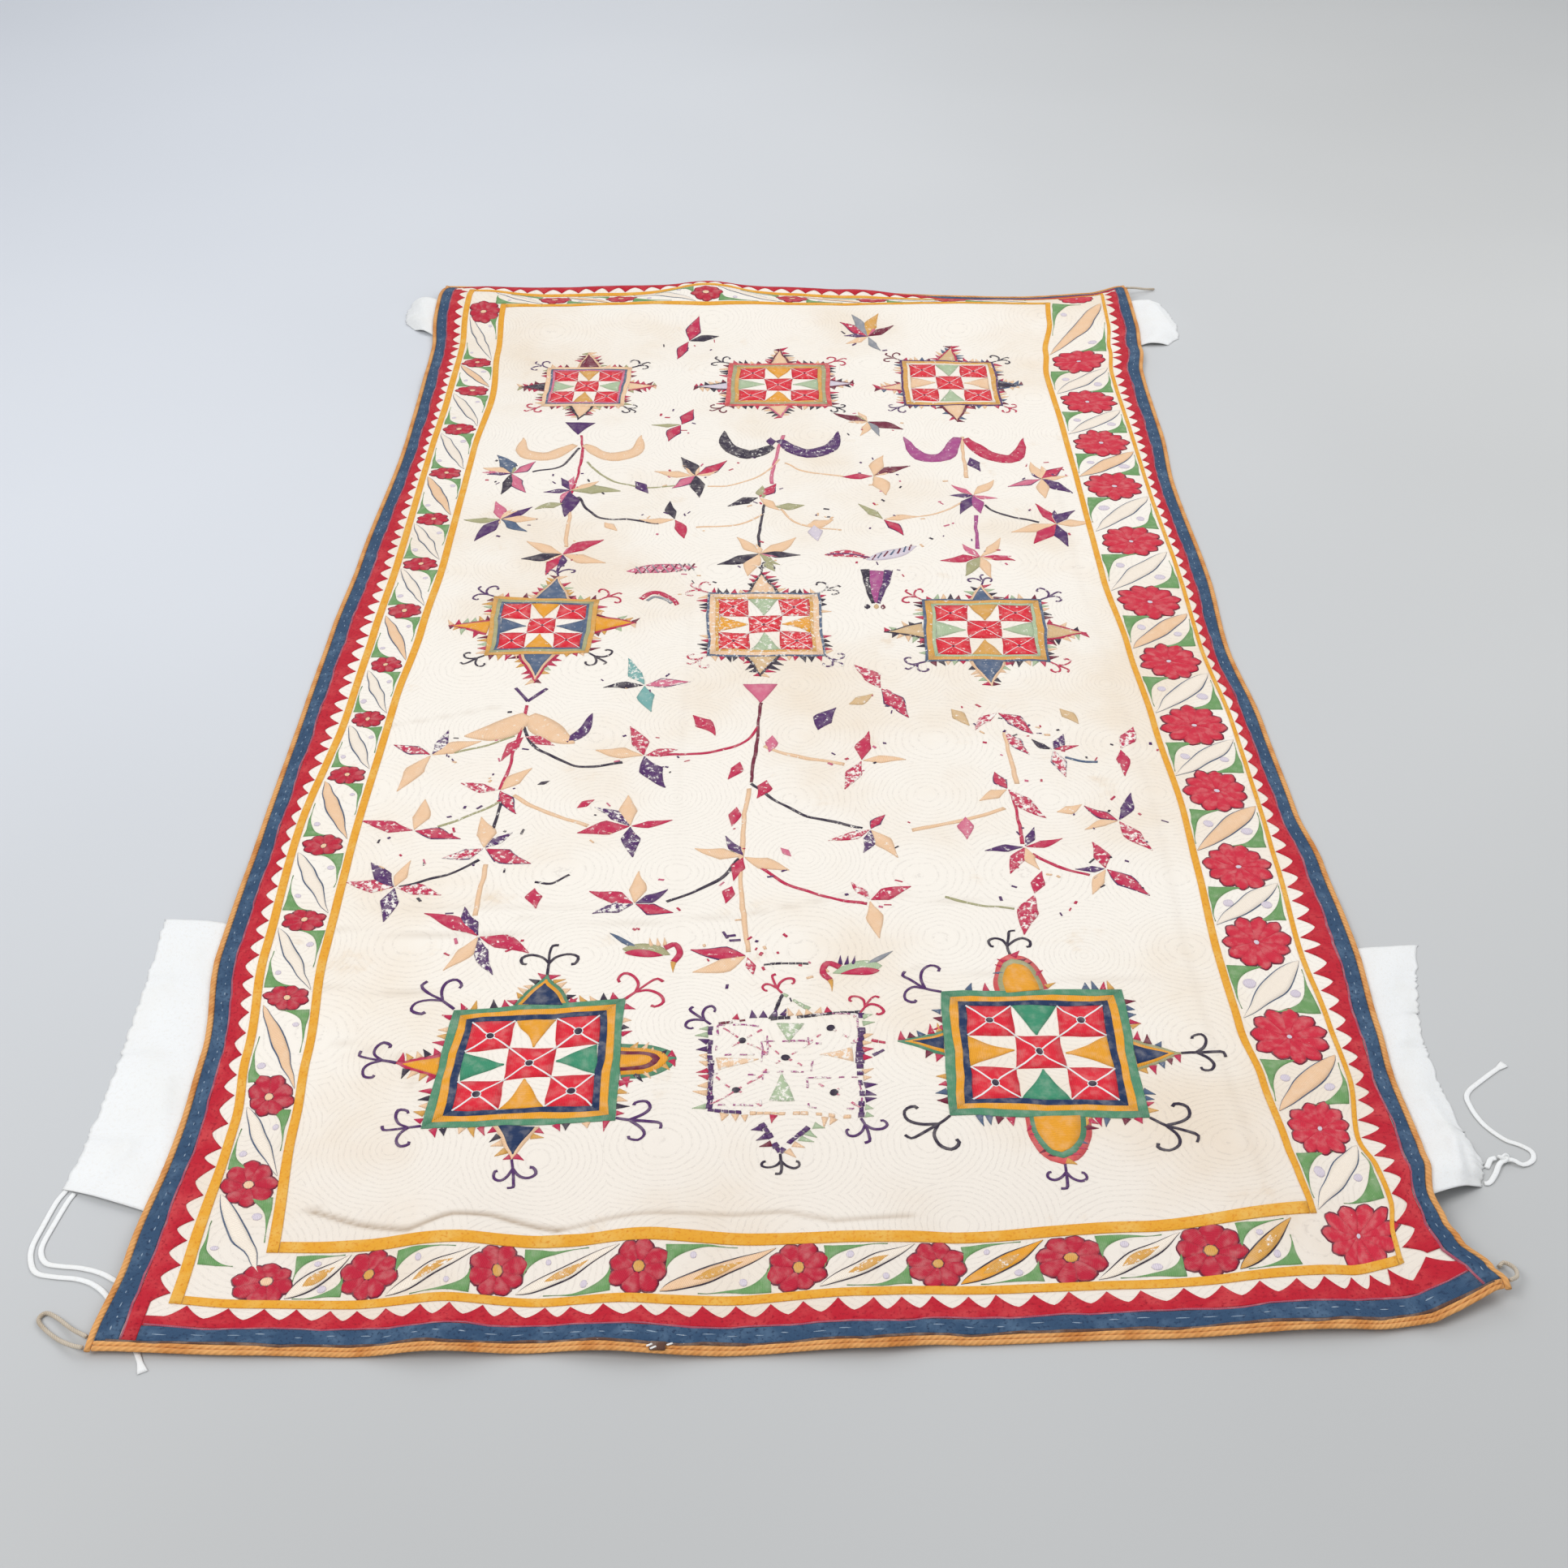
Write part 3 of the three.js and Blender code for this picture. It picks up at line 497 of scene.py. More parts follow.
def cordMaterial(name, colour, dark, pitch):
    material, tree = newMaterial(name, 0.88, 0.05)
    where = uvOf(tree)
    tilted = node(tree, "Mapping", {"Vector": where, "Rotation": (0, 0, math.radians(38))}).outputs["Vector"]
    twist = waveOf(tree, tilted, pitch, 1.2)
    worked = mixOf(tree, cloudsOf(tree, where, 24, 5, 0.4, 0.7), shade(colour), shade(dark))
    return finished(material, grainOf(tree, worked, twist, 0.84, 1.03), bumpOf(tree, twist, 0.7, 0.0008))


silkThread = threadMaterial()
materials = {  # by slot; cottons have a colour, a paler and a darker one, and a scale of fading
    "ground_cotton": groundMaterial(),
    "blue_cotton": cottonMaterial("indigoCotton", (56, 83, 113), (86, 112, 139), (42, 62, 90), 38),
    "red_cotton": cottonMaterial("redCotton", (200, 34, 52), (216, 74, 78), (166, 26, 44), 30),
    "yellow_tape": cottonMaterial("yellowTape", (244, 174, 56), (247, 192, 92), (230, 148, 44), 34),
    "white_cotton": cottonMaterial("whiteCotton", (255, 255, 253), (253, 252, 248), (250, 248, 243), 14, 0.6),
    "orange_roll": cordMaterial("orangeRoll", (230, 168, 102), (204, 130, 64), 5.2),
    "beige_cord": cordMaterial("beigeCord", (212, 198, 178), (190, 172, 148), 2.2),
}
print("materials ready")

# Ties and cords come first: routes in metres, repeated from the solids
curveSteps = 24  # between two places of a route
tubeAngles = np.linspace(0, 2 * math.pi, 11)
tie = {"wide": 6, "thick": 2, "rest": 0.0012, "step": 0.004, "secondStep": 0.003, "ending": 4}
loopCord = {"thick": 4.4, "step": 0.0025}
ties = {  # a taper below zero frays the end wider; places with no height lie on the floor
    "tieLeftLong": {
        "taper": -0.8, "nodes": ["tie_left_long"],
        "route": [
            (-0.7675, -1.104), (-0.773, -1.12), (-0.7775, -1.151), (-0.7805, -1.18), (-0.775, -1.201),
            (-0.765, -1.2135), (-0.746, -1.218), (-0.722, -1.221), (-0.702, -1.229), (-0.683, -1.246),
            (-0.66, -1.278), (-0.64, -1.308), (-0.627, -1.334),
        ],
    },
    "tieLeftShort": {
        "taper": 0.5, "nodes": ["tie_left_short"],
        "route": [
            (-0.7575, -1.1075), (-0.7615, -1.12), (-0.767, -1.151), (-0.7705, -1.176), (-0.768, -1.19),
            (-0.759, -1.201), (-0.743, -1.2045), (-0.722, -1.207), (-0.699, -1.214), (-0.675, -1.228),
        ],
    },
    "tieRight": {
        "taper": -0.85, "nodes": ["tie_right_root", "tie_right_end"],
        "route": [
            (0.7421, -1.099), (0.748, -1.098, 0.0014), (0.757, -1.087, 0.0024), (0.767, -1.0719, 0.004),
            (0.7803, -1.068, 0.004), (0.791, -1.0735, 0.002), (0.804, -1.066), (0.8065, -1.054),
            (0.796, -1.044), (0.782, -1.036), (0.766, -1.014), (0.759, -0.988), (0.761, -0.967),
            (0.785, -0.945), (0.816, -0.921),
        ],
    },
}
cordRoutes = {
    "loopNearLeft": [
        (-0.6907, -1.31, 0.0082), (-0.703, -1.3055, 0.006), (-0.72, -1.296, 0.003),
        (-0.737, -1.283, 0.0024), (-0.746, -1.272, 0.0024), (-0.741, -1.264, 0.0024),
        (-0.728, -1.27, 0.0026), (-0.709, -1.285, 0.005), (-0.6901, -1.297, 0.0082),
    ],
    "loopNearRight": [
        (0.7234, -1.2411, 0.0184), (0.734, -1.232, 0.013), (0.737, -1.218, 0.008), (0.73, -1.208, 0.005),
        (0.723, -1.213, 0.004),
    ],
    "stringFarRight": [
        (0.69595, 1.258, 0.0174), (0.715, 1.265, 0.014), (0.735, 1.274, 0.008), (0.757, 1.285, 0.003),
    ],
}
secondRoute = [
    (0.7506, -1.0773), (0.7545, -1.0715, 0.0016), (0.758, -1.0665, 0.003), (0.7634, -1.0655, 0.004),
]
knot = {"at": (772, -1066, 4.2), "reach": (4.6, 3.9, 1.7), "thick": 3.4, "stations": 90, "turns": 2.4}


def laid(route):
    return [(*place, tie["rest"])[:3] for place in route]


def unit(vectors):
    return vectors / np.maximum(np.linalg.norm(vectors, axis=1), 1e-9)[:, None]


def curveThrough(route, count):
    points = np.array(route, float)
    ends = np.vstack([2 * points[0] - points[1], points, 2 * points[-1] - points[-2]])
    u = np.linspace(0, 1, curveSteps, endpoint=False)[:, None]
    dense = []
    for k in range(len(points) - 1):
        a, b, c, d = ends[k : k + 4]
        cubic = (-a + 3 * b - 3 * c + d) * u**3 + (2 * a - 5 * b + 4 * c - d) * u**2 + (c - a) * u + 2 * b
        dense.append(cubic / 2)
    dense = np.vstack([*dense, points[-1:]])
    run = np.concatenate([[0], np.cumsum(np.linalg.norm(np.diff(dense, axis=0), axis=1))])
    even = np.linspace(0, run[-1], count)
    return np.stack([np.interp(even, run, column) for column in dense.T], axis=1), run[-1]


def cordPiece(name, route, wide, thick, spacing, taper=0.0):
    length = curveThrough(route, 2)[1]
    spine, _ = curveThrough(route, max(8, int(length / spacing)))
    spine = spine / mm
    heading = unit(np.gradient(spine, axis=0))
    side = unit(np.stack([-heading[:, 1], heading[:, 0], np.zeros(len(spine))], axis=1))
    up = np.cross(heading, side)
    order = np.arange(len(spine))
    ending = order - len(spine) + tie["ending"]
    slim = np.where(ending > 0, 1 - taper * ending / (tie["ending"] - 1), 1)

    def place(angle, at):
        k = at.astype(int)
        around = np.cos(angle)[:, None] * side[k] * wide / 2 * slim[k][:, None]
        around += np.sin(angle)[:, None] * up[k] * thick / 2 * np.minimum(slim[k], 1)[:, None]
        uv = np.stack([k * length / mm / len(spine), angle * (wide + thick) / 4], axis=1)
        return spine[k] + around, uv

    return gridPiece(name, tubeAngles, order, place, closed=True), length


def knotPiece():  # a trefoil of the tie's own tape, drawn up tight
    turn = np.linspace(0, 2 * math.pi, knot["stations"])
    across, along = np.sin(turn) + 2 * np.sin(2 * turn), np.cos(turn) - 2 * np.cos(2 * turn)
    wound = np.stack([across, along, -np.sin(3 * turn)], axis=1)
    tight = np.array([knot["turns"], knot["turns"], 1.0])
    spine = np.array(knot["at"]) + wound * np.array(knot["reach"]) / tight
    heading = np.gradient(spine, axis=0)
    heading[0] = heading[-1] = spine[1] - spine[-2]
    heading = unit(heading)
    side = unit(np.cross(heading, np.array([0.0, 0.0, 1.0])))
    up = np.cross(side, heading)

    def place(angle, at):
        k = at.astype(int)
        around = (np.cos(angle)[:, None] * side[k] + np.sin(angle)[:, None] * up[k]) * knot["thick"] / 2
        return spine[k] + around, np.stack([k * 0.9, angle * knot["thick"] / 2], axis=1)

    return gridPiece("tieKnot", np.linspace(0, 2 * math.pi, 9), np.arange(len(turn)), place, closed=True)


tieSecond, _ = cordPiece("tieSecond", laid(secondRoute), tie["wide"], tie["thick"], tie["secondStep"])
settle(tieSecond, "white_cotton", "tie_right_second")
tieKnot = settle(knotPiece(), "white_cotton", "tie_knot")
for name, spec in ties.items():
    route = laid(spec["route"])
    piece, length = cordPiece(name, route, tie["wide"], tie["thick"], tie["step"], spec["taper"])
    settle(piece, "white_cotton", *spec["nodes"])
for name, route in cordRoutes.items():
    piece, length = cordPiece(name, route, loopCord["thick"], loopCord["thick"], loopCord["step"])
    settle(piece, "beige_cord", nodeOf(name))
print("ties and cords laid")


# The quilted ground
def groundPiece():
    s = np.linspace(-halfWidth, halfWidth, cloth["columns"] + 1)
    t = np.linspace(-halfLength, halfLength, cloth["rows"] + 1)
    t = np.unique(np.concatenate([t, *(np.arange(*rows) for rows in cloth["fineRows"])]))
    piece = gridPiece("groundCloth", s, t, lambda a, b: (clothPoints(a, b, 0), np.stack([a, b], axis=1)))
    flat = np.empty(len(piece.data.loops) * 2)
    piece.data.uv_layers["cloth"].data.foreach_get("uv", flat)
    corner = np.empty(len(piece.data.loops), int)
    piece.data.loops.foreach_get("vertex_index", corner)
    placed = np.zeros((len(piece.data.vertices), 2))
    placed[corner] = flat.reshape(-1, 2) / mm
    # painted crease shade, stored on each point
    soil = piece.data.attributes.new("soil", "FLOAT", "POINT")
    soil.data.foreach_set("value", creaseShadeOf(placed[:, 0], placed[:, 1]))
    thicken(piece, cloth["thick"])
    return settle(piece, "ground_cotton", "ground_cloth")


groundCloth = groundPiece()

# Appliqué strips: blue, toothed red, and the two yellow tapes
trim = {"thick": 0.9, "step": 8.0, "gap": 0.5, "toothPitch": 33, "stations": 5}
crossSection = [(0.0, 0.75), (0.07, 1.15), (0.5, 1.35), (0.93, 1.15), (1.0, 0.75)]  # share across, lift


def bandPiece(name, side, lengthwise, low, highOf, slot):  # low and high from the edge
    shares, lifts = np.array(crossSection).T

    def place(share, at):
        distance = low + (highOf(at) - low) * share
        s, t = borderPlace(side, at, distance)
        return clothPoints(s, t, np.interp(share, shares, lifts)), np.stack([at, distance], axis=1)

    facing = side in ("left", "far")  # keeps the grid's face upwards
    piece = gridPiece(name, shares if facing else shares[::-1], lengthwise, place)
    thicken(piece, trim["thick"])
    settle(piece, slot, nodeOf(name))


def stripPiece(name, side, low, high, first, last, slot):
    lengthwise = np.linspace(first, last, max(2, int((last - first) / trim["step"])))
    bandPiece(name, side, lengthwise, low, lambda at: high, slot)


def toothedPiece(name, side, plain, teeth):
    line = lines[side]
    count = round((teeth[1] - teeth[0]) / trim["toothPitch"])
    pitch = (teeth[1] - teeth[0]) / count
    peaks = 0.5 + rng.uniform(-0.14, 0.14, count)
    uneven = rng.uniform(0.86, 1.0, count)
    shares = np.linspace(0, 1, trim["stations"], endpoint=False)
    phases = [np.concatenate([k + shares * p, k + p + shares * (1 - p)]) for k, p in enumerate(peaks)]
    stations = np.unique(np.concatenate([teeth[0] + pitch * np.concatenate(phases), teeth[1:], plain]))
    depth = line["redTip"] - line["redBase"] - trim["gap"]

    def innerOf(at):
        phase = (at - teeth[0]) / pitch
        which = np.clip(np.floor(phase + 1e-9), 0, count - 1).astype(int)
        part = np.clip(phase - which, 0, 1)
        rise = np.where(part < peaks[which], part / peaks[which], (1 - part) / (1 - peaks[which]))
        return line["redBase"] + depth * uneven[which] * np.clip(rise, 0, 1) ** 1.45

    bandPiece(name, side, stations, line["blue"] + trim["gap"], innerOf, "red_cotton")


redLeftEnd = -halfWidth + lines["left"]["redBase"] + trim["gap"]
blueRightEnd = halfWidth - lines["right"]["blue"] - trim["gap"]
nearTip = -halfLength + lines["near"]["redTip"]
farTip = halfLength - lines["far"]["redTip"]
acrossTeeth = (-halfWidth + lines["left"]["redTip"], blueRightEnd)
spans = {
    "left": (-halfLength, halfLength),
    "right": (-halfLength, halfLength),
    "near": (redLeftEnd, blueRightEnd),
    "far": (redLeftEnd, blueRightEnd),
}
redSpans = {
    "left": ((-halfLength, halfLength), (nearTip, farTip)),
    "right": ((nearTip + 1, farTip - 1), (nearTip + 1, farTip - 1)),
    "near": (spans["near"], acrossTeeth),
    "far": (spans["far"], acrossTeeth),
}
for side in bands:
    line = lines[side]
    title = side.capitalize()
    stripPiece(f"blue{title}", side, 0, line["blue"], *spans[side], "blue_cotton")
    toothedPiece(f"red{title}", side, *redSpans[side])
    for tape, start, end in (("outer", "redTip", "flowerStart"), ("inner", "flowerEnd", "inner")):
        if side in uprights:
            run = (-halfLength + lines["near"][start], halfLength - lines["far"][start])
        else:
            left, right = lines["left"][end] + trim["gap"], lines["right"][end] + trim["gap"]
            run = (-halfWidth + left, halfWidth - right)
        stripPiece(f"{tape}Tape{title}", side, line[start], line[end], *run, "yellow_tape")

# Rolled orange edging, doubled along the near edge
roll = {"wide": 7.8, "nearWide": 12, "step": 7.0, "uneven": 0.09}
plainRoll = [(4.1, 3.7, 2.3)]  # centre outwards, half width, half height
rolls = {"left": plainRoll, "right": plainRoll, "far": plainRoll, "near": [(3.3, 3.0, 2.3), (8.9, 3.0, 2.2)]}
outwards = {"left": (-1, 0, 0), "right": (1, 0, 0), "near": (0, -1, 0), "far": (0, 1, 0)}


def rollPiece(side):
    name = f"piping{side.capitalize()}"
    half = halfLength if side in uprights else halfWidth
    at = np.linspace(-half, half, int(2 * half / roll["step"]))
    s, t = borderPlace(side, at, np.zeros(len(at)))
    x, y = planOf(s, t)
    spine = np.stack([x, y, foldOf(s, t)], axis=1)
    if side in uprights:
        past = np.array([[0, -roll["nearWide"], 0], [0, roll["wide"], 0]])
        spine = np.vstack([spine[:1] + past[0], spine, spine[-1:] + past[1]])
    order = np.arange(len(spine))
    parts = []
    for centre, halfAcross, halfUp in rolls[side]:
        swell = 1 - roll["uneven"] * rng.uniform(0, 1, len(spine))

        def place(angle, k):
            k = k.astype(int)
            reach = centre + halfAcross * swell[k] * np.cos(angle)
            points = spine[k] + reach[:, None] * np.array(outwards[side])
            points[:, 2] += halfUp * (1 + swell[k] * np.sin(angle))
            return points, np.stack([k * roll["step"], angle * halfAcross], axis=1)

        parts.append(gridPiece(name, tubeAngles, order, place, closed=True))
    if len(parts) > 1:
        joined = bmesh.new()
        for part in parts:
            joined.from_mesh(part.data)
        joined.to_mesh(parts[0].data)
        joined.free()
        bpy.data.objects.remove(parts[1])
    settle(parts[0], "orange_roll", nodeOf(name))


for side in bands:
    rollPiece(side)
print("edging rolled")

# White flaps: sewn under the edge, lying from it to the floor
flapLook = {
    "step": 5.0,
    "fray": 3.2,
    "crumple": 2.2,
    "columns": 23,
    "under": [-3, -2, -1],  # columns tucked under the cloth
}


def flapPiece(name, flap):
    side, rows = flap["side"], flap["rows"]
    line = lines["left" if side < 0 else "right"]
    tucked = np.array([line["redTip"], line["blue"], 0.0])
    shares = np.concatenate([flapLook["under"], np.linspace(0, 1, flapLook["columns"])])
    at = np.linspace(rows[0][0], rows[-1][0], int((rows[-1][0] - rows[0][0]) / flapLook["step"]) + 2)
    fray = dict(zip(np.round(at, 3), rng.uniform(-1, 0.3, len(at))))

    def place(share, t):
        sewnAt = np.interp(share, flapLook["under"], tucked)
        s = side * (halfWidth - np.where(share < 0, sewnAt, 0))
        x, y = planOf(s, t)
        z = foldOf(s, t) - flapCloth["gap"]
        _, outX, outY, arch = between(rows, t)
        ragged = np.array([fray[key] for key in np.round(t, 3)]) * flapLook["fray"]
        free = np.clip(share, 0, 1)
        middle = np.sin(math.pi * free)
        startX = x + side * roll["wide"]
        outside = share >= 0
        low = z - flapCloth["thick"]
        crumple = 1 + np.sin(t / 23 + 4 * free) * np.sin(t / 9.5 - 3 * free + side)
        height = low * (1 - free) + arch * middle + flapCloth["thick"]
        height += flapLook["crumple"] * crumple / 2 * middle**0.7
        x = np.where(outside, startX + (outX + side * ragged - startX) * free, x)
        y = np.where(outside, y + (outY - y) * free, y)
        for start, end, rise, reach in flap["wrinkles"]:
            off = pathDistance(x, y, [start, end]) / reach
            height += rise * np.exp(-off * off) * middle**0.5
        z = np.where(outside, height, z)
        return np.stack([x, y, z], axis=1), np.stack([share * 100, t], axis=1)

    piece = gridPiece(name, shares if side > 0 else shares[::-1], at, place)
    thicken(piece, flapCloth["thick"])
    settle(piece, "white_cotton", nodeOf(name))


for name, flap in flaps.items():
    flapPiece(name, flap)
print("flaps laid")

# Embroidery: ribbons and patches of thread gathered in arrays, then joined into a few meshes
threads = {
    "red": (230, 40, 58), "rose": (196, 34, 60), "scarlet": (214, 42, 66), "crimson": (202, 46, 84),
    "pink": (220, 112, 140), "magenta": (176, 78, 140), "maroon": (122, 38, 62), "purple": (86, 46, 104),
    "dark": (58, 48, 66), "navy": (34, 54, 92), "slate": (86, 104, 132), "grey": (150, 152, 158),
    "green": (114, 160, 98), "teal": (66, 148, 112), "jade": (88, 146, 112), "seafoam": (124, 178, 172),
    "sage": (180, 198, 160), "olive": (176, 172, 128), "gold": (242, 166, 46), "amber": (226, 168, 84),
    "tan": (224, 188, 140), "peach": (247, 205, 164), "cream": (252, 238, 220), "mauve": (222, 210, 220),
    "steel": (150, 168, 186), "rosewood": (172, 80, 102), "umber": (98, 68, 56), "white": (253, 250, 246),
    "coral": (224, 92, 92),
}
stitchLook = {"base": 0.35, "step": 0.28, "dome": 0.22, "thick": 0.6}


def newWork():
    return {"points": [], "uv": [], "lift": [], "thread": [], "worn": [], "faces": [], "count": 0}


def addNet(work, net, uv, lift, thread, worn):  # net of rows and columns of places
    rows, columns = net.shape[:2]
    index = np.arange(rows * columns).reshape(rows, columns) + work["count"]
    a, b, c, d = index[:-1, :-1], index[1:, :-1], index[1:, 1:], index[:-1, 1:]
    quads = np.stack([a, b, c, d], axis=-1).reshape(-1, 4)
    first = net.reshape(-1, 2)
    p, q, r = first[quads[0] - work["count"]][:3]
    turn = (q[0] - p[0]) * (r[1] - p[1]) - (q[1] - p[1]) * (r[0] - p[0])
    work["faces"].append(quads if turn > 0 else quads[:, ::-1])
    work["points"].append(first)
    work["uv"].append(uv.reshape(-1, 2))
    work["lift"].append(lift.reshape(-1))
    work["thread"].append(np.tile(shade(threads[thread]), (rows * columns, 1)))
    work["worn"].append(np.full(rows * columns, worn))
    work["count"] += rows * columns


def liftOf(level, share):  # share runs from 0 at the middle to 1 at an edge
    return stitchLook["base"] + stitchLook["step"] * level + stitchLook["dome"] * (1 - share * share)


def ribbon(work, points, half, thread, level=1, worn=0.0, steps=10, across=2, shape=None):
    spine, length = curveThrough(points, steps + 1)
    heading = unit(np.gradient(spine, axis=0))
    beside = np.stack([-heading[:, 1], heading[:, 0]], axis=1)
    u = np.linspace(0, 1, steps + 1)
    wide = half * (np.ones(steps + 1) if shape is None else np.maximum(shape(u), 0.04))
    v = np.linspace(-1, 1, across + 1)
    net = spine[:, None] + beside[:, None] * (wide[:, None] * v)[:, :, None]
    seed = rng.uniform(0, 400, 2)  # so that no two ribbons wear alike
    uv = np.stack(np.broadcast_arrays(seed[0] + u[:, None] * length, seed[1] + wide[:, None] * v), axis=-1)
    addNet(work, net, uv, liftOf(level, np.broadcast_to(np.abs(v), net.shape[:2])), thread, worn)


def filled(work, points, half, thread, level, worn, steps, shape):  # a broad ribbon, domed across
    ribbon(work, points, half, thread, level, worn, steps, 4, shape)


def patch(work, corners, thread, level=1, worn=0.0, cells=4):
    a, b, c, d = np.array(corners, float)
    u = np.linspace(0, 1, cells + 1)[:, None, None]
    v = np.linspace(0, 1, cells + 1)[None, :, None]
    net = (1 - u) * ((1 - v) * a + v * d) + u * ((1 - v) * b + v * c)
    rim = np.maximum(np.abs(2 * u - 1), np.abs(2 * v - 1))[:, :, 0]
    uv = rng.uniform(0, 400, 2) + net - net[0, 0]
    addNet(work, net, uv, liftOf(level, rim), thread, worn)


def cornerPatch(work, first, corner, last, thread, level, worn):  # two arms with a hollow curve between them
    a, c, b = np.array(first), np.array(corner), np.array(last)
    u = np.linspace(0, 1, 17)[:, None]
    outside = np.where(u < 0.5, a + (c - a) * 2 * u, c + (b - c) * (2 * u - 1))
    inside = (1 - u) ** 2 * a + 2 * u * (1 - u) * (0.94 * c + 0.06 * (a + b) / 2) + u**2 * b
    v = np.linspace(0, 1, 5)[None, :, None]
    net = outside[:, None] * (1 - v) + inside[:, None] * v
    rim = np.broadcast_to(np.abs(2 * v[:, :, 0] - 1), net.shape[:2])
    addNet(work, net, rng.uniform(0, 400, 2) + net - net[0, 0], liftOf(level, rim), thread, worn)


def leafShape(u):
    return np.sin(math.pi * u**0.85) ** 0.85


def kiteShape(u):
    return np.where(u < 0.42, u / 0.42, (1 - u) / 0.58) ** 0.95


def petalShape(u):
    return (0.22 + 0.78 * smooth(u / 0.7)) * np.sqrt(1 - np.clip((u - 0.62) / 0.385, 0, 1) ** 2)


def crescentShape(u):
    return np.sin(math.pi * (0.12 + 0.88 * u)) ** 0.8


def pointShape(u):
    return 1 - u


def roundShape(u):
    return np.sqrt(1 - np.clip(u, 0, 1) ** 2.4)


def stemmedShape(u):
    return 1 - 0.62 * u


def discShape(u):
    return np.sqrt(np.clip(1 - (2 * u - 1) ** 2, 0, 1))


def polar(x, y, angle, length):
    turn = math.radians(angle)
    return x + length * math.cos(turn), y + length * math.sin(turn)


def disc(work, x, y, radius, thread, level):
    filled(work, [(x - radius, y), (x, y), (x + radius, y)], radius, thread, level, 0.0, 8, discShape)


def leaf(work, x, y, angle, length, thread, wide=0.36, worn=0.12, outline=None, level=1):
    bend = rng.uniform(-0.07, 0.07) * length
    tip = polar(x, y, angle, length)
    spine = [(x, y), polar((x + tip[0]) / 2, (y + tip[1]) / 2, angle + 90, bend), tip]
    if outline:
        ribbon(work, spine, wide * length / 2 + 2, outline, level - 0.6, worn, shape=kiteShape)
    filled(work, spine, wide * length / 2, thread, level, worn, 10, kiteShape)


sprigArm = [(0.58, 0.18), (0.68, 0.42), (0.58, 0.62), (0.38, 0.6), (0.34, 0.5)]  # along, aside


def sprig(work, x, y, angle, size, thread, worn=0.1):  # a stalk with two arms hooked back
    def local(along, aside):
        px, py = polar(x, y, angle, along * size)
        return polar(px, py, angle + 90, aside * size)

    lean = rng.uniform(-0.06, 0.06)
    half = 1.1 + 0.013 * size
    stalk = [local(0, 0), local(0.35, lean), local(0.8, 0), local(0.98, -0.04), local(1.0, -0.2)]
    ribbon(work, stalk, half, thread, 1, worn, steps=14)
    for hand in (1, -1):
        reach = rng.uniform(0.88, 1.1)
        bends = [aside * hand * (reach if k else 1) for k, (_, aside) in enumerate(sprigArm)]
        arm = [local(0.34, lean), *(local(along, bend) for (along, _), bend in zip(sprigArm, bends))]
        ribbon(work, arm, half, thread, 1, worn, steps=14)


def fringe(work, start, end, colours, share, height=13, pitch=11, worn=0.15):  # points on a line's left
    (x0, y0), (x1, y1) = start, end
    count = max(1, round(math.hypot(x1 - x0, y1 - y0) / pitch))
    angle = math.degrees(math.atan2(y1 - y0, x1 - x0))
    for k in range(count):
        if rng.random() > share:
            continue
        at = (k + 0.5) / count
        x, y = x0 + (x1 - x0) * at, y0 + (y1 - y0) * at
        tip = polar(x, y, angle + 90 + rng.uniform(-22, 22), height * rng.uniform(0.7, 1.25))
        colour = colours[int(at * len(colours) * 0.999)]
        ribbon(work, [(x, y), tip], pitch * 0.42, colour, 1, worn, steps=3, shape=pointShape)


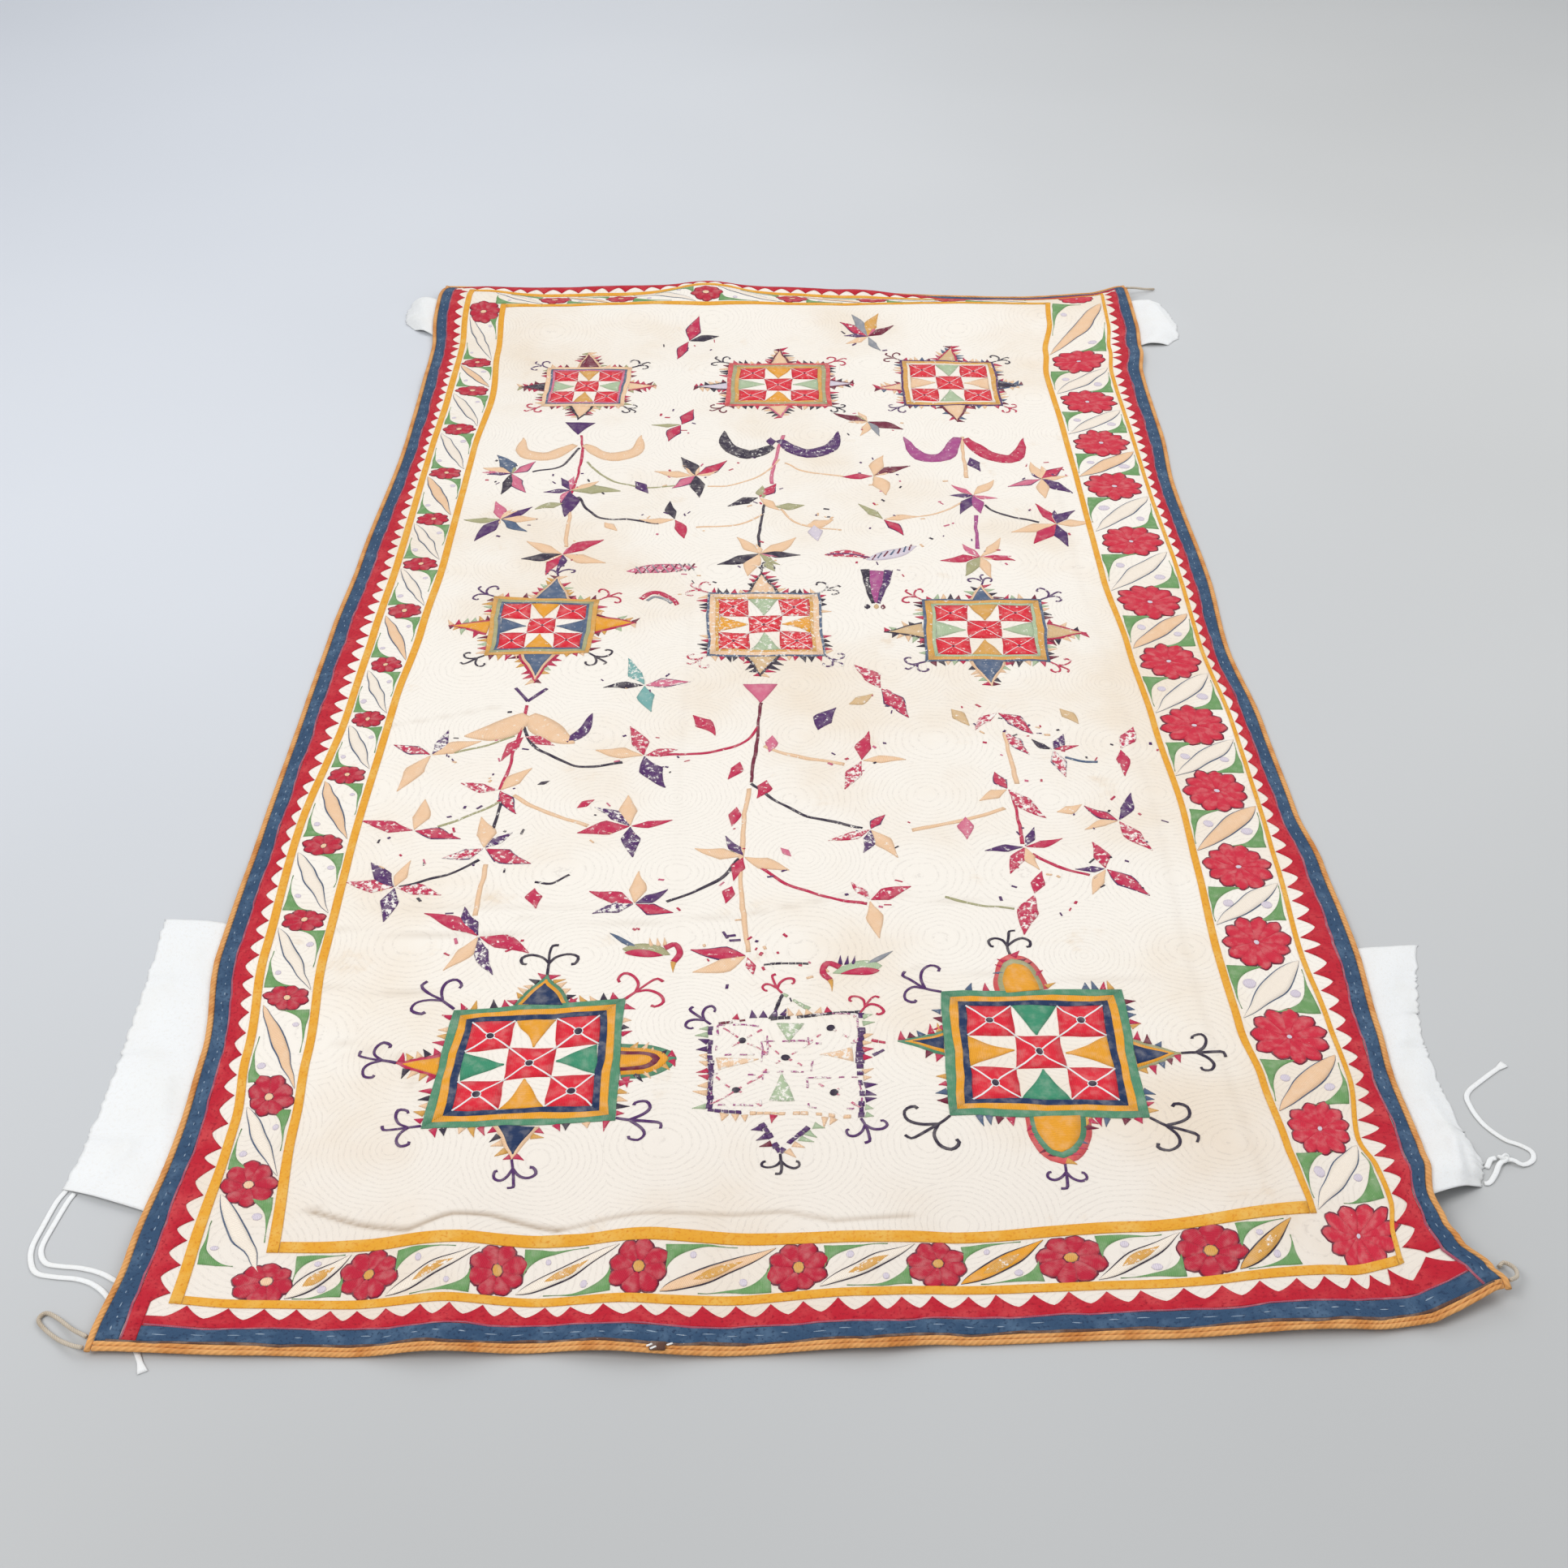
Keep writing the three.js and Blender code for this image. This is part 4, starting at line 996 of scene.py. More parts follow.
# Nine square medallions
medallions = {  # corners near left, near right, far right, far left
    "nearLeft": {
        "corners": [(-402, -1018), (-190, -1008), (-192, -812), (-392, -830)],
        "frames": [("jade", 9), ("gold", 9), ("navy", 8)], "endwise": "gold", "sideways": "teal",
        "ears": [  # foot, tip, half foot, thread, outlines from the outside, round or not
            ((-288, -822), (-288, -768), 36, "navy", ("jade", "gold")),
            ((-191, -915), (-128, -912), 28, "gold", ("jade", "gold", "maroon"), "round"),
            ((-298, -1014), (-298, -1064), 25, "navy", ("peach",)),
            ((-397, -922), (-446, -918), 21, "gold", ("crimson",)),
        ],
        "sprigs": [  # place, angle, length, thread
            (-288, -768, 90, 62, "dark"), (-392, -828, 140, 70, "purple"), (-194, -814, 45, 66, "crimson"),
            (-446, -918, 165, 56, "purple"), (-402, -1014, 190, 52, "purple"),
            (-190, -1004, -5, 60, "purple"), (-298, -1064, -80, 48, "purple"),
        ],
        "fringe": ("crimson", "amber", "peach", "dark", "crimson"), "fringeShare": 0.92, "worn": 0.0,
    },
    "nearRight": {
        "corners": [(178, -1000), (398, -1005), (398, -798), (182, -800)],
        "frames": [("jade", 10), ("gold", 9), ("navy", 8)], "endwise": "teal", "sideways": "gold",
        "ears": [
            ((280, -800), (272, -735), 32, "gold", ("coral", "olive"), "round"),
            ((398, -906), (452, -905), 26, "navy", ("olive", "gold")),
            ((297, -1002), (297, -1072), 36, "gold", ("coral", "jade"), "round"),
            ((180, -886), (128, -883), 22, "navy", ("jade", "gold")),
        ],
        "sprigs": [
            (272, -735, 90, 52, "dark"), (182, -800, 150, 62, "purple"), (452, -905, 5, 56, "dark"),
            (398, -1005, -25, 70, "dark"), (178, -1000, -140, 66, "dark"), (297, -1072, -90, 40, "purple"),
        ],
        "fringe": ("crimson", "maroon", "slate", "crimson", "amber"), "fringeShare": 0.72, "worn": 0.0,
    },
    "middleLeft": {
        "corners": [(-445, -70), (-290, -65), (-285, 85), (-450, 95)],
        "frames": [("amber", 7), ("olive", 6), ("slate", 4)], "endwise": "gold", "sideways": "slate",
        "ears": [
            ((-360, 90), (-355, 155), 30, "slate", ("peach",)),
            ((-288, 17), (-225, 18), 29, "gold", ("crimson",)),
            ((-366, -68), (-365, -142), 32, "slate", ("crimson", "peach")),
            ((-448, 8), (-510, 14), 22, "gold", ("crimson",)),
        ],
        "top": (40, "purple"), "tufts": [(44, "purple"), (44, "crimson"), (44, "dark"), (44, "dark")],
        "fringe": ("peach", "crimson", "sage", "amber", "maroon"), "fringeShare": 0.82, "worn": 0.15,
    },
    "middleCentre": {
        "corners": [(-115, -75), (60, -75), (55, 105), (-120, 105)],
        "frames": [("slate", 4), ("peach", 9), ("amber", 5)], "endwise": "sage", "sideways": "gold",
        "ears": [
            ((-33, 105), (-35, 166), 27, "peach", ("dark",)),
            ((-33, -75), (-35, -128), 27, "tan", ("dark",)),
        ],
        "top": (38, "dark"), "tufts": [(44, "crimson"), (44, "dark"), (40, "crimson"), (40, "purple")],
        "fringe": ("crimson", "dark", "crimson", "peach"), "fringeShare": 0.95, "worn": 0.3,
    },
    "middleRight": {
        "corners": [(208, -88), (392, -90), (398, 85), (213, 85)],
        "frames": [("slate", 4), ("amber", 9), ("sage", 5)], "endwise": "amber", "sideways": "sage",
        "ears": [
            ((306, 85), (308, 128), 20, "slate", ("peach",)),
            ((396, -8), (456, -12), 25, "tan", ("crimson",)),
            ((300, -89), (300, -152), 28, "slate", ("peach",)),
            ((210, -4), (150, -8), 25, "tan", ("dark",)),
        ],
        "top": (36, "purple"), "tufts": [(42, "crimson"), (42, "purple"), (42, "purple"), (42, "crimson")],
        "fringe": ("crimson", "sage", "peach", "dark", "maroon"), "fringeShare": 0.82, "worn": 0.2,
    },
    "farLeft": {
        "corners": [(-440, 757), (-290, 755), (-283, 920), (-442, 918)],
        "frames": [("peach", 8), ("slate", 4), ("pink", 4)], "endwise": "amber", "sideways": "sage",
        "ears": [
            ((-364, 919), (-370, 985), 24, "maroon", ("peach",)),
            ((-441, 836), (-490, 835), 18, "dark", ("maroon",)),
            ((-286, 838), (-232, 840), 20, "peach", ("crimson",)),
            ((-366, 756), (-367, 700), 24, "peach", ("dark",)),
        ],
        "tufts": [(42, "purple"), (42, "dark"), (38, "crimson"), (38, "dark")],
        "fringe": ("peach", "crimson", "maroon", "olive"), "fringeShare": 0.87, "worn": 0.2,
    },
    "farCentre": {
        "corners": [(-105, 755), (88, 755), (88, 935), (-102, 935)],
        "frames": [("coral", 8), ("olive", 7), ("amber", 7)], "endwise": "gold", "sideways": "sage",
        "ears": [
            ((-6, 935), (-4, 996), 22, "peach", ("maroon",)),
            ((-8, 755), (-2, 708), 22, "peach", ("pink",)),
            ((-104, 838), (-164, 834), 17, "mauve", ("dark",)),
            ((88, 848), (134, 850), 16, "mauve", ("maroon",)),
        ],
        "tufts": [(44, "dark"), (44, "crimson"), (38, "maroon"), (38, "dark")],
        "fringe": ("crimson", "dark", "peach", "maroon"), "fringeShare": 0.95, "worn": 0.18,
    },
    "farRight": {
        "corners": [(220, 755), (400, 755), (400, 940), (222, 950)],
        "frames": [("purple", 4), ("amber", 9), ("cream", 5)], "endwise": "sage", "sideways": "peach",
        "ears": [
            ((312, 945), (324, 1006), 22, "tan", ("crimson",)),
            ((400, 842), (446, 840), 20, "dark", ("slate",)),
            ((220, 832), (172, 830), 20, "peach", ("crimson",)),
            ((312, 755), (315, 690), 26, "peach", ("maroon",)),
        ],
        "tufts": [(44, "maroon"), (40, "dark"), (38, "purple"), (38, "crimson")],
        "fringe": ("crimson", "peach", "slate", "maroon"), "fringeShare": 0.87, "worn": 0.2,
    },
}
tuftTurns = [(3, 140), (2, 40), (0, -140), (1, -40)]  # corner and angle of each tuft
medallionLook = {"earInset": 5.5, "large": 190, "loose": 0.025, "sprigs": 0.84}


def ear(work, foot, tip, half, thread, outlines, shape, worn):
    shrink = 0.0
    (fx, fy), (tx, ty) = foot, tip
    length = math.hypot(tx - fx, ty - fy)
    for level, colour in enumerate([*outlines, thread]):
        share = 1 - shrink * 1.5 / length
        end = (fx + (tx - fx) * share, fy + (ty - fy) * share)
        filled(work, [foot, end], half - shrink, colour, 0.4 + 1.2 * level, worn, 12, shape)
        shrink += medallionLook["earInset"]


def sprigsOf(spec):
    sprigs = list(spec.get("sprigs", []))
    if "top" in spec:  # on the first ear's tip
        sprigs.append((*spec["ears"][0][1], 90, *spec["top"]))
    for (corner, angle), tuft in zip(tuftTurns, spec.get("tufts", [])):
        sprigs.append((*spec["corners"][corner], angle, *tuft))
    return sprigs


def medallion(work, spec):
    corners = np.array(spec["corners"], float)
    size = (np.linalg.norm(corners[1] - corners[0]) + np.linalg.norm(corners[3] - corners[0])) / 2
    worn, colours, share = spec["worn"], spec["fringe"], spec["fringeShare"]
    large = size > medallionLook["large"]  # the two whole near ones

    def at(u, v):  # both from -1 to 1
        a, b, c, d = corners
        p, q = (u + 1) / 2, (v + 1) / 2
        return tuple((1 - q) * ((1 - p) * a + p * b) + q * ((1 - p) * d + p * c))

    for foot, tip, half, thread, outlines, *rounded in spec["ears"]:
        ear(work, foot, tip, half, thread, outlines, roundShape if rounded else pointShape, worn)
        (fx, fy), (tx, ty) = foot, tip
        length = math.hypot(tx - fx, ty - fy)
        sideX, sideY = -(ty - fy) / length * half, (tx - fx) / length * half
        fringe(work, (fx + sideX, fy + sideY), tip, colours, share)
        fringe(work, tip, (fx - sideX, fy - sideY), colours, share)
    ring = [(-1, -1), (1, -1), (1, 1), (-1, 1)]
    sides = list(zip(ring, ring[1:] + ring[:1]))
    for (u0, v0), (u1, v1) in sides:
        for low, high in ((0.03, 0.33), (0.67, 0.97)):
            start = at(u0 + (u1 - u0) * high, v0 + (v1 - v0) * high)
            fringe(work, start, at(u0 + (u1 - u0) * low, v0 + (v1 - v0) * low), colours, share)
    outer = 1.0
    for thread, wide in spec["frames"]:
        inner = outer - 2 * wide / size
        for (u0, v0), (u1, v1) in sides:
            quad = [at(u0 * outer, v0 * outer), at(u1 * outer, v1 * outer), at(u1 * inner, v1 * inner)]
            patch(work, [*quad, at(u0 * inner, v0 * inner)], thread, 2, worn, cells=8)
        outer = inner
    marks = np.linspace(-outer, outer, 4)
    knots = marks[:, None, None] * np.array([1.0, 0.0]) + marks[None, :, None] * np.array([0.0, 1.0])
    loose = medallionLook["loose"]
    knots[1:3, 1:3] += rng.uniform(-loose, loose, (2, 2, 2))
    for i in range(3):
        for j in range(3):
            cell = [at(*knots[i, j]), at(*knots[i + 1, j]), at(*knots[i + 1, j + 1]), at(*knots[i, j + 1])]
            middle = tuple(np.mean(cell, axis=0))
            if (i + j) % 2 == 0:
                patch(work, cell, "red", 1, worn)
                for k in range(4):
                    ribbon(work, [cell[k], middle], 1.1 if large else 0.6, "white", 2.2, 0.0, steps=3)
                if large:
                    disc(work, *middle, 5.6, "white", 2.4)
                disc(work, *middle, 4.6 if large else 2.4, "dark" if large else "maroon", 3.0)
            else:
                thread = spec["sideways"] if i != 1 else spec["endwise"]
                feet = {(0, 1): (0, 3), (2, 1): (1, 2), (1, 0): (0, 1), (1, 2): (3, 2)}[(i, j)]
                foot = np.array([cell[feet[0]], cell[feet[1]]])
                half = np.linalg.norm(foot[1] - foot[0]) * 0.48
                start = tuple(foot.mean(axis=0))
                opposite = tuple(1.9 * np.array(middle) - 0.9 * np.array(start))
                filled(work, [start, opposite], half, thread, 1.4, worn, 10, pointShape)
    for x, y, angle, length, thread in sprigsOf(spec):
        sprig(work, x, y, angle, medallionLook["sprigs"] * length, thread, worn + 0.08)


handWobble = [  # waves across and along per metre, phase, reach: no stitch line is straight
    (13, 8, 0.4, 0.9), (-10, 16, 2.1, 0.9), (22, -7, 4.0, 0.6), (6, -25, 1.2, 0.6),
]


def byHand(points):
    moved = points.copy()
    for k, (across, along, phase, reach) in enumerate(handWobble):
        turn = 2 * math.pi * mm * points @ np.array([across, along]) + phase
        moved[:, k % 2] += reach * np.sin(turn)
        moved[:, 1 - k % 2] += reach * np.sin(1.3 * turn) / 2
    return moved


def stitchedPiece(name, work, onFloor=True):
    points = byHand(np.vstack(work["points"]))
    s, t = clothAt(points[:, 0], points[:, 1]) if onFloor else points.T
    mesh = bpy.data.meshes.new(name)
    faces = np.vstack(work["faces"])
    mesh.from_pydata((clothPoints(s, t, np.concatenate(work["lift"])) * mm).tolist(), [], faces.tolist())
    uv = np.vstack(work["uv"])[faces.reshape(-1)] * mm
    mesh.uv_layers.new(name="cloth").data.foreach_set("uv", uv.reshape(-1))
    thread = mesh.attributes.new("thread", "FLOAT_COLOR", "POINT")
    thread.data.foreach_set("color", np.vstack(work["thread"]).reshape(-1))
    worn = mesh.attributes.new("worn", "FLOAT", "POINT")
    worn.data.foreach_set("value", np.concatenate(work["worn"]))
    mesh.polygons.foreach_set("use_smooth", np.ones(len(faces), bool))
    piece = linked(name, mesh)
    thicken(piece, stitchLook["thick"])
    settle(piece, "ground_cotton", material=silkThread)
    print("embroidered", name, len(faces), "faces")


for name, spec in medallions.items():
    work = newWork()
    medallion(work, spec)
    stitchedPiece(f"medallion{name[0].upper()}{name[1:]}", work)


# The worn ninth medallion: loose rows of stitches where its patches were
def dashes(work, start, end, thread, half, share, worn=0.25):  # a line of stitches with some lost
    (x0, y0), (x1, y1) = start, end
    count = max(2, round(math.dist(start, end) / 8))
    for k in range(count):
        if rng.random() < share:
            run = [(x0 + (x1 - x0) * at, y0 + (y1 - y0) * at) for at in (k / count, (k + 0.9) / count)]
            ribbon(work, run, half * rng.uniform(0.65, 1.1), thread, 1, worn, steps=3)


ghost = {
    "lines": [  # start, end, thread, half width, share left
        ((-88, -990), (-88, -905), "purple", 4.2, 0.95), ((-88, -903), (-89, -858), "purple", 3.0, 0.75),
        ((-88, -855), (-24, -846), "maroon", 2.4, 0.7), ((-20, -846), (86, -834), "dark", 2.5, 0.8),
        ((86, -836), (83, -926), "purple", 4.6, 0.9), ((83, -930), (80, -1003), "purple", 3.4, 0.6),
        ((-88, -992), (-52, -994), "purple", 2.6, 0.85), ((-50, -994), (70, -1000), "peach", 2.4, 0.7),
        ((-29, -1013), (-8, -1054), "purple", 4.0, 0.85), ((-8, -1054), (26, -1008), "purple", 3.6, 0.8),
        ((-21, -846), (-5, -804), "dark", 2.4, 0.9), ((-5, -804), (34, -834), "sage", 2.6, 0.65),
        ((97, -881), (121, -888), "crimson", 2.4, 0.75), ((121, -888), (96, -906), "purple", 2.4, 0.75),
    ],
    "squares": [(-52, -881), (52, -862), (-1, -908), (52, -965), (-58, -960)], "half": (29, 24),
    "points": [  # foot, tip, half foot, thread
        ((3, -853), (2, -886), 16, "sage"), ((-7, -976), (-7, -934), 14, "sage"),
        ((-80, -920), (-34, -912), 11, "peach"), ((76, -904), (36, -906), 11, "peach"),
    ],
    "sprigs": [
        (-8, -1056, -92, 30, "dark"), (-6, -802, 112, 32, "crimson"), (-89, -854, 140, 34, "purple"),
        (84, -836, 55, 34, "crimson"), (80, -1004, -70, 34, "purple"),
    ],
    "fringes": [  # start, end, threads, share left
        ((-91, -992), (-91, -856), ("sage", "peach", "crimson", "peach", "purple", "sage"), 0.85),
        ((88, -836), (85, -1004), ("sage", "peach", "crimson", "peach", "purple", "sage"), 0.9),
        ((-88, -850), (86, -832), ("crimson", "purple", "peach", "crimson"), 0.6),
        ((80, -1004), (-88, -995), ("peach", "crimson", "peach"), 0.3),
        ((-10, -1056), (-32, -1014), ("maroon", "purple"), 0.8),
        ((30, -1008), (-4, -1056), ("sage", "peach"), 0.8),
    ],
}


def ghostMedallion():
    work = newWork()
    for line in ghost["lines"]:
        dashes(work, *line)
    halfX, halfY = ghost["half"]
    for x, y in ghost["squares"]:
        disc(work, x, y, 4.8, "dark", 1.4)
        around = [(x + u * halfX, y + v * halfY) for u, v in ((-1, -1), (1, -1), (1, 1), (-1, 1))]
        for k in range(4):
            dashes(work, around[k], around[k - 1], "magenta", 1.2, 0.42, worn=0.4)
            dashes(work, around[k], (x, y), "pink", 1.3, 0.4, worn=0.4)
    for foot, tip, half, thread in ghost["points"]:
        filled(work, [foot, tip], half, thread, 0.6, 0.36, 8, pointShape)
    for spec in ghost["sprigs"]:
        sprig(work, *spec)
    for spec in ghost["fringes"]:
        fringe(work, *spec)
    stitchedPiece("medallionNearCentre", work)


ghostMedallion()
print("medallions stitched")

# Flowering branches: stems, then stars of leaves around a heart
stems = [  # thread, path
    ("crimson", (-368, -200), (-372, -260), (-378, -350), (-385, -400)),
    ("dark", (-380, -420), (-384, -470), (-388, -510)),
    ("peach", (-385, -560), (-388, -610), (-385, -660)),
    ("dark", (-370, -250), (-350, -300), (-300, -340), (-265, -350), (-225, -340)),
    ("peach", (-365, -415), (-320, -450), (-260, -480)),
    ("dark", (-395, -550), (-430, -580), (-490, -605)), ("maroon", (-35, -195), (-40, -300), (-48, -385)),
    ("peach", (-50, -400), (-58, -540), (-55, -650), (-45, -730)),
    ("crimson", (-38, -255), (-60, -295), (-110, -318), (-180, -322)),
    ("peach", (-30, -300), (0, -320), (80, -345)),
    ("dark", (-48, -388), (-10, -430), (40, -465), (100, -485)),
    ("dark", (-60, -550), (-90, -595), (-150, -635)),
    ("crimson", (-50, -548), (0, -600), (60, -630), (100, -640)),
    ("peach", (308, -270), (310, -330), (312, -390)), ("crimson", (305, -420), (307, -470), (308, -520)),
    ("peach", (290, -445), (250, -465), (165, -490)), ("crimson", (318, -540), (345, -565), (385, -585)),
    ("slate", (385, -330), (405, -338), (430, -340)),
    ("crimson", (-358, 640), (-350, 560), (-355, 450), (-360, 400)),
    ("peach", (-360, 400), (-354, 330), (-352, 250)), ("dark", (-358, 590), (-380, 530), (-430, 505)),
    ("dark", (-345, 415), (-310, 350), (-250, 335), (-205, 325)),
    ("pink", (0, 640), (-15, 540), (-20, 460)), ("dark", (-30, 400), (-38, 330), (-40, 240)),
    ("peach", (315, 630), (314, 550), (312, 480)), ("magenta", (318, 350), (314, 290), (312, 240)),
    ("dark", (335, 385), (360, 355), (420, 325)),
]
twigs = [  # thin and faint: thread, path
    ("peach", (305, 400), (260, 360), (185, 335)),
    ("olive", (-340, 540), (-300, 480), (-244, 449), (-170, 456)),
    ("peach", (-7, 548), (-30, 503), (-82, 457), (-128, 452)), ("peach", (3, 537), (35, 506), (100, 485)),
    ("peach", (-33, 356), (-74, 320), (-143, 313)), ("peach", (-5, 371), (27, 320), (95, 301)),
    ("olive", (-456, -315), (-406, -294), (-379, -274)),
    ("olive", (-459, -483), (-417, -457), (-383, -428)), ("olive", (200, -628), (240, -642), (284, -651)),
    ("dark", (-320, -596), (-298, -597), (-275, -581)),
]
stars = [  # heart, then each leaf's angle, length and thread, crimson where none is named
    (-490, -322, (25, 60, "peach"), (-115, 74, "peach"), (72, 52, "purple"), (155, 48)),
    (-366, -276, (243, 53), (-29, 41)),
    (-195, -325, (108, 62), (168, 58, "peach"), (-62, 66, "purple"), (20, 40)),
    (-385, -402, (52, 52, "peach"), (160, 48), (-62, 48)),
    (-205, -480, (140, 54, "purple"), (98, 54, "peach"), (14, 46), (195, 58), (-84, 54, "purple")),
    (-488, -490, (160, 62), (-16, 54), (84, 56, "peach")),
    (-390, -526, (205, 46), (100, 54, "peach"), (-30, 56), (48, 36, "purple")),
    (-495, -606, (126, 52, "purple"), (80, 44, "peach"), (172, 54), (-12, 50), (-98, 54, "purple")),
    (-378, -700, (152, 70), (112, 50, "purple"), (-22, 58), (-122, 58, "peach"), (-72, 60, "purple")),
    (105, -336, (84, 58), (2, 50, "peach"), (-108, 58)),
    (112, -490, (200, 50), (62, 30), (-104, 40, "purple"), (-60, 54, "peach")),
    (-55, -546, (118, 40, "purple"), (166, 54, "peach"), (-22, 54, "peach"), (-104, 40)),
    (-190, -640, (88, 54, "peach"), (36, 40, "purple"), (204, 44, "purple"), (155, 52), (-18, 42)),
    (-47, -737, (167, 58), (206, 60, "peach"), (-80, 28)),
    (104, -634, (28, 48), (-84, 58, "peach"), (120, 36)), (302, -220, (229, 47), (-48, 58)),
    (308, -267, (-66, 52)), (300, -402, (112, 34), (-58, 64), (212, 40, "peach")),
    (310, -526, (66, 34, "purple"), (20, 44), (-112, 50), (194, 44, "purple"), (-70, 40, "peach")),
    (370, -312, (140, 30, "dark"), (12, 32), (-80, 52), (62, 34, "purple")),
    (465, -310, (66, 46), (-94, 52)),
    (440, -472, (140, 42), (68, 54, "purple"), (-58, 60), (198, 42, "peach")),
    (410, -572, (100, 46), (176, 32, "purple"), (-118, 46, "peach"), (-46, 58)),
    (312, -622, (70, 40), (-104, 66)),
    (-205, -150, (108, 62, "seafoam"), (-76, 56, "seafoam"), (186, 48, "dark"), (4, 56, "pink")),
    (140, -160, (122, 60), (-66, 66)),
    (-465, 498, (116, 54, "slate"), (46, 40, "pink"), (-62, 54, "pink"), (160, 40, "peach"),
        (-102, 54, "dark")),
    (-360, 438, (110, 36, "purple"), (-96, 66, "purple"), (36, 40, "peach"), (2, 62, "olive")),
    (-150, 490, (110, 52, "dark"), (-84, 58, "dark"), (168, 54, "peach"), (-130, 44, "pink"), (48, 54)),
    (-466, 340, (106, 44, "pink"), (40, 46, "purple"), (-116, 58, "purple"), (184, 44, "olive"),
        (0, 44, "peach"), (-44, 46, "slate")),
    (-180, 338, (96, 46, "dark"), (186, 42, "peach"), (-72, 48)),
    (-356, 224, (34, 58), (-106, 48), (192, 48, "dark"), (142, 54, "peach"), (-20, 56, "peach")),
    (-40, 412, (208, 44, "dark"), (-50, 40, "peach"), (64, 40)),
    (-40, 224, (122, 48, "peach"), (38, 58, "peach"), (-102, 50, "peach"), (208, 54, "dark"),
        (-4, 48, "dark")),
    (155, 490, (72, 54, "peach"), (-74, 54, "peach"), (190, 40), (24, 52, "maroon")),
    (440, 474, (46, 44), (104, 46, "peach"), (-90, 48, "peach"), (206, 46, "pink"), (-44, 50, "purple")),
    (320, 420, (136, 36, "pink"), (54, 46, "peach"), (-84, 46, "magenta"), (-114, 52, "purple")),
    (446, 320, (114, 52), (-124, 56), (46, 42, "purple"), (-82, 54, "purple"), (6, 46, "peach"),
        (200, 58, "peach")),
    (165, 336, (130, 46, "olive"), (-60, 44), (10, 40, "peach")),
    (315, 216, (194, 48), (-18, 40), (56, 50, "peach"), (-78, 50, "peach"), (-114, 48, "olive")),
    (-180, 1026, (74, 56), (-104, 52), (12, 44, "dark")),
    (165, 1036, (140, 52), (108, 58, "grey"), (72, 58, "amber"), (38, 46, "maroon"), (-60, 38, "grey")),
    (-182, 680, (74, 48), (-108, 48), (180, 38, "olive")),
    (152, 694, (156, 50, "maroon"), (-28, 50, "maroon"), (-70, 44, "grey"), (-108, 44, "peach")),
]
loneLeaves = [  # place, angle, length, thread
    (-318, -608, -82, 40, "crimson"), (-131, -228, -55, 58, "crimson"), (46, -262, 64, 60, "purple"),
    (-18, -276, -100, 40, "pink"), (-62, -340, -112, 42, "crimson"), (-24, -380, -110, 44, "crimson"),
    (-66, -440, -100, 42, "crimson"), (92, -200, 36, 42, "tan"), (236, -212, -60, 46, "tan"),
    (392, -212, -60, 44, "tan"), (360, -452, 22, 38, "peach"), (237, -464, -91, 46, "pink"),
    (-70, -605, -102, 34, "crimson"), (-7, -528, -48, 22, "pink"), (-434, -385, -29, 24, "crimson"),
    (-335, -390, 30, 18, "dark"), (-277, -441, 39, 26, "crimson"), (-369, 392, 205, 48, "olive"),
    (-294, 327, -51, 34, "peach"), (-33, 411, 95, 42, "olive"), (-14, 381, 4, 50, "olive"),
    (-29, 203, -68, 34, "olive"), (35, 314, 25, 52, "peach"), (-252, 468, -60, 48, "purple"),
    (-20, 630, -90, 34, "purple"), (326, 552, -75, 50, "purple"), (48, 318, -82, 52, "mauve"),
]
horns = [  # thread, half width, path from the stem outwards
    ("peach", 15, (-366, 604), (-408, 562), (-452, 575), (-460, 632)),
    ("peach", 15, (-350, 602), (-302, 560), (-258, 580), (-250, 640)),
    ("dark", 15, (-18, 596), (-60, 566), (-98, 600), (-104, 656)),
    ("purple", 15, (-8, 620), (34, 572), (82, 590), (98, 656)),
    ("magenta", 15, (308, 628), (280, 558), (236, 562), (214, 632)),
    ("crimson", 15, (320, 624), (358, 562), (402, 552), (425, 626)),
    ("peach", 21, (-366, -226), (-402, -264), (-448, -277)),
    ("peach", 21, (-362, -226), (-330, -266), (-294, -293)),
    ("purple", 8, (-304, -290), (-284, -264), (-274, -222)),
]
loose = ("purple", "dark", "crimson", "pink", "crimson", "purple", "peach")  # threads of the broken stitches
farExtras = ("olive", "peach", "pink", "purple", "peach")


def brokenStitches(work, x, y, count, reach):  # short ends left where stitches have worn away
    for _ in range(count):
        start = polar(x, y, rng.uniform(0, 360), reach * rng.uniform(0.25, 1.0))
        end = polar(*start, rng.uniform(0, 360), rng.uniform(3, 10))
        ribbon(work, [start, end], rng.uniform(0.9, 1.9), loose[rng.integers(len(loose))], 0.8, 0.2, steps=2)


